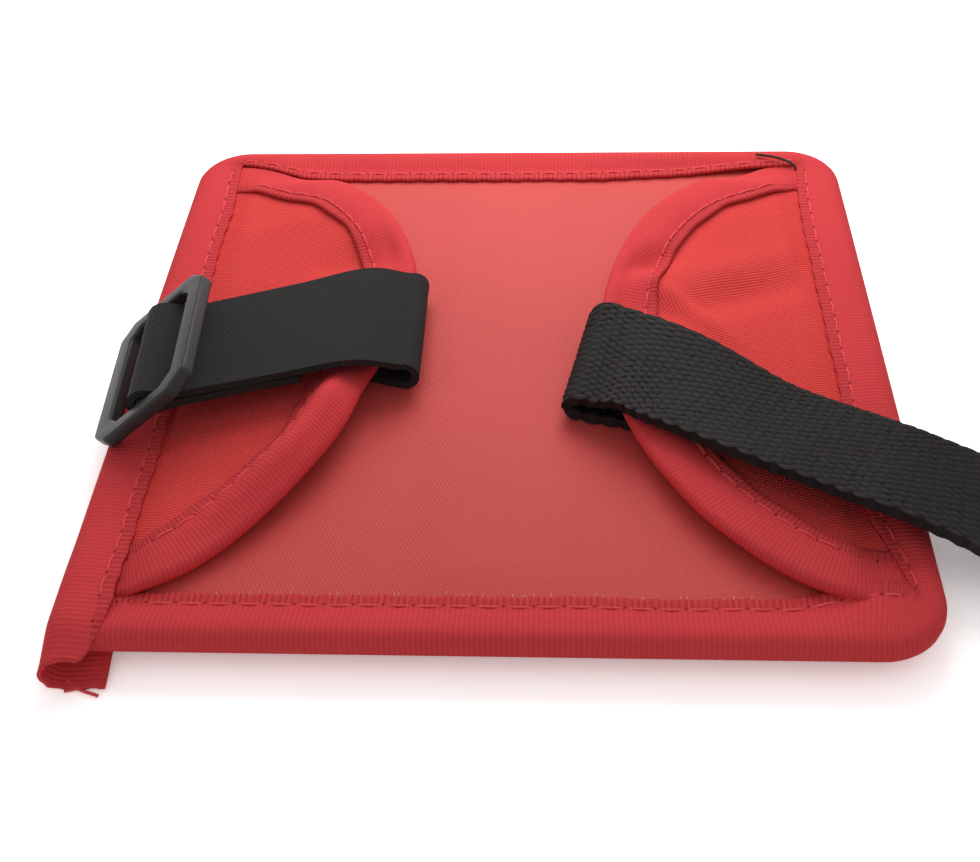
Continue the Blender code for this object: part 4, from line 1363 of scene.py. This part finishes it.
webbing_finish = cloth_finish(
    "webbing_weave",
    WEBBING_COLOUR,
    WEBBING_VALLEY_SHADE,
    (0, WEBBING_ENDS / WEBBING_WIDTH / 2),
    (1 / FLOAT_PERIOD, 0),
    depth=0.00010,
    roughness=0.62,
    shine=0.10,
    uneven=0.06,
    patchy=0.35,
)
webbing_route = strap_fold(
    webbing_at, webbing_low, webbing_turn, WEBBING_ROOT_LENGTH, webbing_side, WEBBING_PRESS
)
webbing_route += webbing_run_route()[1:]
webbing, webbing_cut = ribbon(
    webbing_route, WEBBING_STEP, 2 * WEBBING_ENDS, WEBBING_THICKNESS, webbing_finish, webbing_relief
)
webbing_split = WEBBING_ROOT_LENGTH + math.pi * webbing_turn + WEBBING_SPLIT
webbing_fold = cut_length("webbing_fold_length", webbing, 0, webbing_split)
webbing_run = cut_length("webbing_free_length", webbing, webbing_split, webbing_cut)
bpy.data.objects.remove(webbing)
through_fold = Vector((0, 0, 1)) - webbing_side.normalized() * (WEBBING_PRESS / WEBBING_WIDTH)
through_fold *= webbing_turn * WEBBING_BLEND
start = webbing_apex - through_fold
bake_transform(webbing_fold)
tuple(start)
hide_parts("webbing_root", "webbing_fold")

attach(webbing_run, "webbing_strap")
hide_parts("webbing_run")

# Edge tape
# One grosgrain tape folded over the whole edge of the pad: along the front, round three corners and down
# the left side over its own start, where it is cut off raw and left open past the front.
EDGE_TAPE_COLUMNS = 760
TAIL_CUT_LENGTH = 0.014
TAIL_RISE = 0.0008
TAIL_RISE_LENGTH = 0.010
TAIL_RISE_FROM = 0.022
TAIL_SAG = 0.0015
TAIL_SAG_LENGTH = 0.0065
TAIL_FLATTENING = 0.0005
TAIL_SHORTENING = 0.0011
TAIL_SLANT = 0.0062
TAIL_SLANT_WIDTH = 0.15
TAIL_SLANT_POWER = 1.4
TAIL_TOP_CUT = 0.0009
TAIL_RAGGED = 0.0003
CORNER_STEPS = 24
START_TUCK = 0.0035
FIRST_STITCH = START_TUCK + 0.002
LAST_STITCH = 0.008
INNER_WAVE = 0.0003
STITCH_SCALLOP = 0.0001
END_LIE = 0.00095
SIDE_LIE = 0.0002
CORNER_ARC = math.pi / 2 * CORNER_RADIUS
GATHER_LENGTH = 0.013
FLAT_FROM_CORNERS = (0.008, 0.020, 0.020)

# Where the tape's inner edge is gathered at each corner, and how far it drifts before and after it
FRONT_RIGHT_GATHER = (Vector((0.0505, -0.0427, 0)), 0.012, 0.016)
BACK_RIGHT_GATHER = (Vector((0.0479, 0.0478, 0)), 0.008, 0.034)
BACK_LEFT_GATHER = (Vector((-0.0475, 0.0486, 0)), 0.012, 0.010)


def edge_outline():
    """The pad's outline in plan, in the order the tape is sewn, and the distances to its corners."""
    inner = pad_half - Vector((CORNER_RADIUS, CORNER_RADIUS))
    start = Vector((-pad_half.x + TAPE_LEG - START_TUCK, -pad_half.y, 0))
    points = [start]
    corners = []
    for sign_x, sign_y, first in ((1, -1, -math.pi / 2), (1, 1, 0.0), (-1, 1, math.pi / 2)):
        centre = Vector((sign_x * inner.x, sign_y * inner.y, 0))
        for step in range(CORNER_STEPS + 1):
            angle = first + math.pi / 2 * step / CORNER_STEPS
            points.append(centre + Vector((math.cos(angle), math.sin(angle), 0)) * CORNER_RADIUS)
        corners.append(len(points) - 1 - CORNER_STEPS // 2)
    points.append(Vector((-pad_half.x, binding_low.y + TAIL_SHORTENING, 0)))
    lengths = [walk(points[:here + 1])[0] for here in corners]
    return walk(points), lengths


(edge_length, edge_at), corner_distances = edge_outline()


def inner_edge(distance):
    """Where the inner edge of the tape's top lies, beside a place on the outline."""
    edge, heading = edge_at(distance)
    inward = Vector((-heading.y, heading.x, 0))
    wave = INNER_WAVE * noise.noise(Vector((distance * 90, 0, 1)))
    wave += STITCH_SCALLOP * math.cos(math.tau * distance / STITCH_PITCH)
    inner = edge + inward * (TAPE_LEG + wave)
    gathers = (FRONT_RIGHT_GATHER, BACK_RIGHT_GATHER, BACK_LEFT_GATHER)
    for middle, (gather, before, after) in zip(corner_distances, gathers):
        past = distance - middle
        drift = after if past > 0 else before
        toward = gather - inner
        across = toward.dot(inward) * ease(1 - (abs(past) - CORNER_ARC / 2) / drift)
        along = toward.dot(heading) * ease(1 - abs(past) / GATHER_LENGTH)
        inner += inward * across + heading * along
    return inner


def lie_down(distance):
    """How far the inner part of the tape's top comes down: most on the front and back, least in corners."""
    heading = edge_at(distance)[1]
    depth = SIDE_LIE + (END_LIE - SIDE_LIE) * heading.x ** 2
    for middle, flat in zip(corner_distances, FLAT_FROM_CORNERS):
        depth *= 1 - ease(1 - (abs(distance - middle) - CORNER_ARC / 2) / flat)
    return depth


def near_end(distance, length):
    """From 0 to 1 over the last length of the tape."""
    return ease((distance - edge_length + length) / length)


def edge_half(distance):
    """Half of the tape's height: taller where it lies over its own start, flatter at its open end."""
    rise = TAIL_RISE * ease((distance - edge_length + TAIL_RISE_FROM) / TAIL_RISE_LENGTH)
    return tape_half + rise - TAIL_FLATTENING * near_end(distance, TAIL_SAG_LENGTH)


def edge_tape_spot(distance, inset, height):
    """A point of the tape, at an inset from its fold and a height from its middle."""
    edge, heading = edge_at(distance)
    spot = edge + Vector((-heading.y, heading.x, 0)) * inset
    share = inset / TAPE_LEG
    if height > 0:
        spot = spot.lerp(edge.lerp(inner_edge(distance), share), ease(share * 1.2))
        height -= lie_down(distance) * ease((share - 0.2) / 0.6)
    level = tape_middle - TAIL_SAG * near_end(distance, TAIL_SAG_LENGTH)
    return Vector((spot.x, spot.y, level + height))


def tail_cut(share):
    """How much shorter the tape is cut at a place across it: most at the inner corner of its top."""
    slant = TAIL_SLANT * max(1 - share / TAIL_SLANT_WIDTH, 0) ** TAIL_SLANT_POWER
    top = TAIL_TOP_CUT * ease((0.5 - share) / 0.3)
    return slant + top + TAIL_RAGGED * noise.noise(Vector((share * 34, 2, 0)))


def edge_tape_place(u, v):
    distance = edge_length * u
    before_cut = edge_length - TAIL_CUT_LENGTH
    if distance > before_cut:
        distance = before_cut + (distance - before_cut) * (1 - tail_cut(v) / TAIL_CUT_LENGTH)
    inset, height, over = tape_wrap(v, TAPE_LEG, edge_half(distance))
    swell = tape_swell(distance, inset, TAPE_LEG)
    return edge_tape_spot(distance, inset, height + math.copysign(swell, height)), distance, over


def edge_stitch_line(distance, face):
    inset = TAPE_LEG - STITCH_FROM_EDGE
    height = edge_half(distance) + TAPE_THICKNESS / 2 + THREAD_RISE
    return edge_tape_spot(distance, inset, face * (height + tape_swell(distance, inset, TAPE_LEG)))


edge_tape = piece_from("edge_tape", cloth_grid(EDGE_TAPE_COLUMNS, TAPE_ROWS, edge_tape_place), tape_finish)
thicken(edge_tape, TAPE_THICKNESS)
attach(edge_tape, "pad")
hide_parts("edge_binding")

edge_spots = stitches_on(edge_stitch_line, FIRST_STITCH, edge_length - LAST_STITCH)
edge_stitches = thread_row("edge_stitches", edge_spots, red_thread, THREAD_DIAMETER)
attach(edge_stitches, "pad")
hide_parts("edge_seam_thread")

# Thread ends
# The seam's thread is left hanging where the tape is cut, and a brown end sticks out at the back right.
# Both are single spun threads that lie on what is under them.
BROWN_COLOUR = (0.060, 0.035, 0.022)
LOOSE_DIAMETER = 0.00045
LOOSE_STEPS = 6
RED_ENDS = [
    [(-0.0521, -0.0553, 0.0006), (-0.0505, -0.0564, 0.0003), (-0.0479, -0.0573, 0.0003)],
    [(-0.0488, -0.0555, 0.0006), (-0.0503, -0.0563, 0.0005), (-0.0522, -0.0567, 0.0003)],
]
BROWN_RISE = 0.0007
BROWN_END = [
    (0.0481, 0.0467, -0.0012),
    (0.0471, 0.0473, -0.0001),
    (0.0445, 0.0487, 0.0002),
    (0.0414, 0.0499, 0),
]

red_routes = [smooth_route([Vector(knot) for knot in knots], LOOSE_STEPS) for knots in RED_ENDS]
red_end = thread_row("red_thread_end", red_routes, red_thread, LOOSE_DIAMETER)
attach(red_end, "pad")
brown_knots = [Vector((x, y, binding_high.z + BROWN_RISE + z)) for x, y, z in BROWN_END]
brown_thread = thread_finish("brown_thread", BROWN_COLOUR, 0.7)
brown_routes = [smooth_route(brown_knots, LOOSE_STEPS)]
brown_end = thread_row("brown_thread_end", brown_routes, brown_thread, LOOSE_DIAMETER)
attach(brown_end, "pad")

# Table, light and camera
# A plain white table in soft studio light from behind and above, seen from where the photograph was taken.
# The camera sees the table and the surround brighter than they light the part, so both come out white.
TABLE_COLOUR = (0.93, 0.92, 0.92)
TABLE_SIZE = 6.0
TABLE_GAIN = 1.85
TABLE_LIFT = 0.20
LAMP_PLACE = Vector((0.005, 0.095, 0.105))
LAMP_AIM = Vector((0, 0.03, 0))
LAMP_SIZE = 0.12
LAMP_POWER = 0.16
SURROUND_LIGHT = 0.50
CAMERA_PLACE = Vector((0.00745, -0.14562, 0.13391))
CAMERA_PITCH = math.radians(44.813)
CAMERA_YAW = math.radians(-4.084)
CAMERA_ROLL = math.radians(-2.568)
FOCAL_PIXELS = 1315.9
PHOTO_WIDTH = 980
SENSOR_WIDTH = 36.0


def seen_in(tree):
    """1 for what the camera sees, also by way of a mirror or glass, and 0 for light on the part."""
    ray = tree.nodes.new("ShaderNodeLightPath")
    seen = sums(tree, "MAXIMUM", ray.outputs["Is Camera Ray"], ray.outputs["Is Glossy Ray"])
    return sums(tree, "MAXIMUM", seen, ray.outputs["Is Transmission Ray"])


work = bmesh.new()
bmesh.ops.create_grid(work, x_segments=1, y_segments=1, size=TABLE_SIZE / 2)
table_finish, tree, shader = start_finish("table_white", roughness=0.7, shine=0.2)
seen = seen_in(tree)
gain = sums(tree, "MULTIPLY_ADD", seen, TABLE_GAIN - 1, 1)
tree.links.new(tint(tree, TABLE_COLOUR, gain), shader.inputs["Base Color"])
shader.inputs["Emission Color"].default_value = (1, 1, 1, 1)
tree.links.new(sums(tree, "MULTIPLY", seen, TABLE_LIFT), shader.inputs["Emission Strength"])
table = piece_from("table", work, table_finish)

surround = bpy.data.worlds.new("surround")
surround.use_nodes = True
tree = surround.node_tree
background = tree.nodes["Background"]
background.inputs["Color"].default_value = (1, 1, 1, 1)
lit = sums(tree, "MULTIPLY_ADD", seen_in(tree), 1 - SURROUND_LIGHT, SURROUND_LIGHT)
tree.links.new(lit, background.inputs["Strength"])
bpy.context.scene.world = surround

lamp_data = bpy.data.lights.new("soft_box", "AREA")
lamp_data.size = LAMP_SIZE
lamp_data.energy = LAMP_POWER
lamp = bpy.data.objects.new("soft_box", lamp_data)
lamp.location = LAMP_PLACE
lamp.rotation_mode = "QUATERNION"
lamp.rotation_quaternion = (LAMP_AIM - LAMP_PLACE).to_track_quat("-Z", "Y")
lamp.visible_camera = False
bpy.context.collection.objects.link(lamp)

camera_data = bpy.data.cameras.new("camera")
camera_data.sensor_width = SENSOR_WIDTH
camera_data.lens = FOCAL_PIXELS * SENSOR_WIDTH / PHOTO_WIDTH
camera_data.clip_start = 0.01
camera = bpy.data.objects.new("camera", camera_data)
level_way = math.cos(CAMERA_PITCH)
forward = Vector((math.sin(CAMERA_YAW), math.cos(CAMERA_YAW), 0)) * level_way
forward.z = -math.sin(CAMERA_PITCH)
right = forward.cross(Vector((0, 0, 1))).normalized()
upward = right.cross(forward)
tilted_right = right * math.cos(CAMERA_ROLL) + upward * math.sin(CAMERA_ROLL)
tilted_up = tilted_right.cross(forward)
turned = Matrix((tilted_right, tilted_up, -forward)).transposed()
camera.matrix_world = Matrix.Translation(CAMERA_PLACE) @ turned.to_4x4()
bpy.context.collection.objects.link(camera)
bpy.context.scene.camera = camera

bpy.context.scene.view_settings.view_transform = "Standard"
